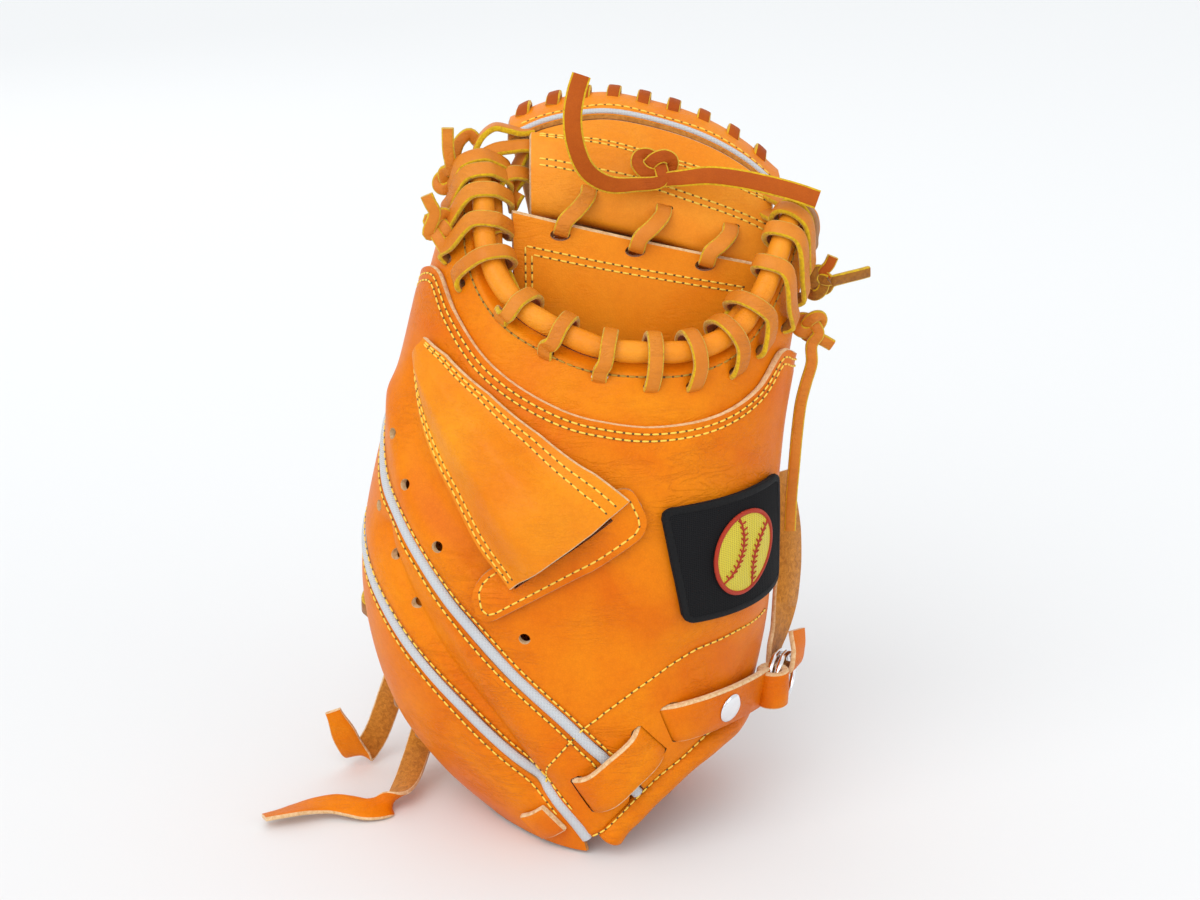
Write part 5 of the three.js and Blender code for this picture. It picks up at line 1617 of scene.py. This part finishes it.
# Places of each knot's middle and tails, the ways that it lies, its size and the width of its lace
knots = {
    "web_knot": {
        "middle": (21, 52.5, 273.8), "right": (1, 0, -0.1), "up": (0.1, 0.25, 1), "size": 2.5,
        "left": [(13, 48.5, 268.4), (3, 43, 270), (-5, 37.5, 276.5), (-9.2, 34, 287), (-10.4, 33.2, 298),
                 (-9, 35.5, 307), (-7, 38, 313)],
        "tail": [(30, 49.5, 270.6), (42, 47.5, 272.2), (54, 45.2, 271.4), (66, 43.6, 269.2),
                 (76, 43, 266.6), (84, 42, 264)],
        "width": 5.4, "steps": 190, "tailWidth": 7.4, "dark": True,
    },
    "finger_knot_upper": {
        "middle": (-59, 63.5, 267), "right": (-1, 0, 0), "up": (0, 0, -1), "size": 1.8,
        "left": [(-58.6, 60, 272), (-59.2, 58.5, 280), (-59.2, 58, 288.6)],
        "tail": [(-57.5, 68, 273.6), (-55.5, 70, 280.4), (-51.5, 72, 283.2), (-48.3, 72, 280)],
        "width": 4.8, "steps": 110,
    },
    "finger_knot_lower": {
        "middle": (-63.2, 46.5, 252.2), "right": (0, 0, -1), "up": (1, 0, 0), "size": 1.95,
        "left": [(-64, 44, 258.5), (-65.5, 43.5, 262), (-67, 43.5, 265.5)],
        "tail": [(-62, 43.5, 247), (-60, 43, 243.5)],
        "width": 5.0, "steps": 110,
    },
    "thumb_knot_upper": {
        "middle": (87.5, 60, 225.5), "right": (0.2, 0, 1), "up": (-1, 0, 0.2), "size": 1.8,
        "left": [(88.5, 60, 229.5), (91, 60, 233), (92.5, 60, 236.5)],
        "tail": [(92, 62, 225.2), (98, 66, 226), (104, 70, 226.3), (108.5, 73.5, 226.5)],
        "width": 4.6, "steps": 110, "dark": True,
    },
    "thumb_knot_lower": {
        "middle": (84, 56.5, 208.5), "right": (1, 0, 0.3), "up": (-0.3, 0, 1), "size": 1.9,
        "left": [(84.5, 53, 202), (84.6, 51.5, 195), (82.6, 51, 187), (80.8, 51, 178.5), (79.6, 51, 166),
                 (78.8, 51, 152), (78, 51, 137), (77.8, 51, 123)],
        "tail": [(88, 56, 203.6), (93, 57, 200.6)],
        "width": 4.8, "steps": 170,
    },
}
for node, row in knots.items():
    lacePiece(node + "_lace", node, [knotLace(row)], dark="dark" in row)
print("knots made")


# Lacing between the web and the rolled edges
def rung(start, onRoll, hole):
    axis, spot = rollFrame(onRoll)
    if start:
        first = [vec(*start), spot(-innerReach - 2, 2), spot(-innerReach + 3, wrapReach - 1.6)]
    else:
        first = [spot(-wrapReach + 0.2, -4.5), spot(-wrapReach + 0.4, 2.5)]
    (angle, z), high = hole, float(rollHeight(onRoll)) - 2
    points = first + [spot(-2.5, wrapReach - 0.3), spot(2.4, wrapReach - 0.9), spot(wrapReach, -1),
                      onBack(onRoll + (angle - onRoll) * 0.6, high + (z - high) * 0.6, -2.2),
                      onBack(angle, z + 1.6, -0.9), onBack(angle, z - 0.8, 3.4)]
    over = -axis if axis[2] < 0 else axis
    return stripMesh(points, over, 6.2, 2.2, 56, flip=bool(start))


def bight(points, across):
    # A bent piece of lace with its grain to the outside
    _, _, through = stations(points, unit(vec(*across)), 44)
    inward = float(np.sum(through @ vec(0, -1, 0.4))) < 0
    return stripMesh(points, unit(vec(*across)), 6.0, 2.3, 44, flip=inward)


bights = {
    "finger": [
        ([(-49.5, 64, 274.6), (-48.3, 66, 279.7), (-45.6, 68, 284), (-41.3, 70, 286.4), (-36.3, 71, 285.4),
          (-31.6, 71.5, 284.1), (-26.5, 73, 284.2)], (0, 1, 0.1)),
        ([(-51.3, 57, 267.4), (-49.3, 59, 272.5), (-46.2, 61, 276.4), (-41.2, 63, 278.8), (-34.6, 66, 279.3),
          (-28.4, 68, 279.3), (-25.3, 70, 278)], (0, 0.8, 0.6)),
        ([(-39.2, 57, 265), (-37.9, 57, 269), (-34.5, 59, 270.5), (-29.9, 63, 269.2), (-26.5, 67, 266.6)],
         (0, 0.7, 0.7)),
        ([(-45.1, 43.5, 248.4), (-42.7, 43, 252.1), (-39.2, 44.5, 253.3), (-35.1, 47.5, 251.8)],
         (0.2, 0.6, 0.8)),
    ],
    "thumb": [
        ([(65, 64, 253.6), (69.3, 58, 252.3), (73, 53, 249.1), (76.1, 51, 244), (78.1, 54, 237.5),
          (77.8, 58, 231.5)], (0.5, 0.8, 0.3)),
        ([(67.1, 68, 259.5), (72.1, 61, 258), (76.6, 56, 254.4), (79.7, 54, 248.9), (81.3, 56, 242.2),
          (80.6, 60, 235.9)], (0.5, 0.8, 0.3)),
        ([(80.3, 73, 253.4), (84.3, 72, 250.7), (85.5, 70, 246.3), (84.1, 66, 240.8), (80.8, 62, 235.3)],
         (0.5, 0.8, 0.3)),
    ],
}
for side in rungs:
    lacePiece(side + "_side_lacing", side + "_web_lace",
              [rung(*row) for row in rungs[side]] + [bight(*row) for row in bights[side]])


# Whip lacing over the rims of the back panels
def rimLacing(name, node, edge, towards, heights, beside=()):
    # Loops over the rim at these heights, and short bars of lace beside them on the back
    bar = ((179, 0.8), (182, -1.5), (186, -2.3), (191, -1.8), (196, 0.8))
    loops = [stripMesh([onBack(a, z + 0.2 * (a - 186), i) for a, i in bar], vec(0, 0, 1), 6, 2.2, 24)
             for z in beside]
    for z in heights:
        rows = ((-7, -1.4, 0.6), (-5, -1, -1.7), (-2, 0, -2.1), (1.2, 0.6, -1.5), (3.6, 1, 0.9))
        loops.append(stripMesh([onBack(edge + towards * a, z + rise, i) for a, rise, i in rows], vec(0, 0, 1),
                               5.8, 2.1, 20))
    line = [(edge + towards * 3.8, z, 1) for z in np.linspace(heights[0], heights[-1], 7)]
    loops.append(backStrip(line, 4, 2, 60))
    lacePiece(name, node, loops)


rimLacing("finger_rim_lacing", "finger_rim_lace", mitt["rimAngle"], 1, np.linspace(14, 200, 7),
          beside=(14, 28, 42, 84))
rimLacing("thumb_rim_lacing", "thumb_rim_lace", mitt["thumbRim"], -1, np.linspace(52, 176, 5))

# Loose leather straps at the little finger side, suede on one face
looseCut = {"width": 11, "thick": 1.8, "taper": 0.35}
looseStraps = {
    "loose_strap_short": {
        "points": [(-86, 87.1, 54), (-87, 86.8, 46), (-89.6, 86.5, 37.7), (-92.2, 88, 29.7),
                   (-94.8, 88.5, 21.7), (-98, 87.5, 13.4), (-101, 85.4, 8.2), (-104, 81.8, 5.4),
                   (-107, 78, 7.4), (-109.6, 75, 13.6), (-112.4, 73, 22.2), (-115.4, 72, 30.4)],
        "across": [(1, 0.3, 0), (1, 0.2, 0), (1, 0.1, 0), (1, 0, -0.1), (1, 0, -0.1), (1, 0, -0.2),
                   (1, 0.1, -0.2), (0.9, 0.3, -0.2), (1, 0.2, 0), (1, 0.1, 0.2), (1, 0, 0.3), (1, 0, 0.3)],
    },
    "loose_strap_long": {
        "points": [(-76.6, 74.5, 20), (-78.5, 70, 14.5), (-80.4, 62, 10.6), (-82.8, 52, 7), (-86.6, 42, 4.8),
                   (-91.3, 35.5, 3.8), (-97.9, 33, 3.9), (-105.1, 34, 4.8), (-111.5, 35.2, 5.2),
                   (-118.6, 34.3, 5), (-125.8, 31.6, 4.8), (-133, 28.4, 4.4), (-140.1, 25.3, 4.2)],
        "across": [(1, 0.2, 0.2), (1, 0.1, 0.1), (1, 0, 0), (0.95, 0.2, 0.2), (0.7, 0.6, 0.4),
                   (0.3, 0.9, 0.38), (0, 0.9, 0.36), (0, 0.9, 0.32), (0, 0.95, 0.26), (0, 1, 0.1),
                   (0, 1, -0.1), (0, 1, -0.2), (0, 1, -0.2)],
    },
}


def makeLooseStraps():
    steps = 110
    taper = np.ones((steps + 1, 2))
    taper[:, 0] -= looseCut["taper"] * smooth(np.arange(steps + 1) / steps, 0.86, 1.0)
    for node, row in looseStraps.items():
        made = stripMesh(row["points"], row["across"], looseCut["width"], looseCut["thick"], steps,
                         scale=taper, flip=True)
        made[0][:, 2] = np.maximum(made[0][:, 2], 0.3 + 0.02 * made[0][:, 2])       # clear of the floor
        addPiece(node + "_leather", made, suedeBacked, node, sharp=50)


makeLooseStraps()
print("laces and straps made")

# All seam thread and its painted-shade hole marks, one piece for each part of the mitt
for name, rows in stitchRows.items():
    upper = "oliveThread" if name == "roll_stitches" else "yellowThread"
    addPiece(name, joined(rows), [upper, "darkThread"], sharp=80)
print("thread made:", {name: len(rows) for name, rows in stitchRows.items()})


# Pale floor and soft studio light
studio = {
    "floor": (0.80, 0.81, 0.815),
    "sky": (0.97, 0.985, 1.0),
    "world": 0.84,
    "sun": {"from": (-0.45, -0.90, 1.0), "power": 1.5, "angle": 60.0},
    "aim": (0, 0, 0.14),    # the middle of the mitt
    "lights": [
        ("fillLight", (1.3, -0.9, 0.8), 1.0, 2.2),
        ("topLight", (0.1, 0.5, 1.7), 1.2, 1.2),
        ("backLight", (-0.6, 1.3, 0.9), 1.0, 1.4),
    ],
}


def makeStudio():
    mesh = bpy.data.meshes.new("floor")
    mesh.from_pydata([(-6, -6, 0), (6, -6, 0), (6, 6, 0), (-6, 6, 0)], [], [(0, 1, 2, 3)])
    floor = bpy.data.objects.new("floor", mesh)
    bpy.context.scene.collection.objects.link(floor)
    material = bpy.data.materials.new("floorPaper")
    material.use_nodes = True
    shader = material.node_tree.nodes["Principled BSDF"]
    shader.inputs["Base Color"].default_value = (*studio["floor"], 1)
    shader.inputs["Roughness"].default_value = 0.9
    shader.inputs["Specular IOR Level"].default_value = 0.1
    mesh.materials.append(material)
    world = bpy.data.worlds.new("studioWorld")
    world.use_nodes = True
    background = world.node_tree.nodes["Background"]
    background.inputs["Color"].default_value = (*studio["sky"], 1)
    background.inputs["Strength"].default_value = studio["world"]
    bpy.context.scene.world = world
    for name, spot, size, power in studio["lights"]:
        light = bpy.data.lights.new(name, "AREA")
        light.shape = "DISK"
        light.size = size
        light.energy = power
        lookFrom(bpy.data.objects.new(name, light), spot, studio["aim"])
    sun = bpy.data.lights.new("keyLight", "SUN")
    sun.energy = studio["sun"]["power"]
    sun.angle = math.radians(studio["sun"]["angle"])
    lookFrom(bpy.data.objects.new("keyLight", sun), studio["sun"]["from"], studio["aim"])
    bpy.context.scene.view_settings.view_transform = "Standard"


makeStudio()
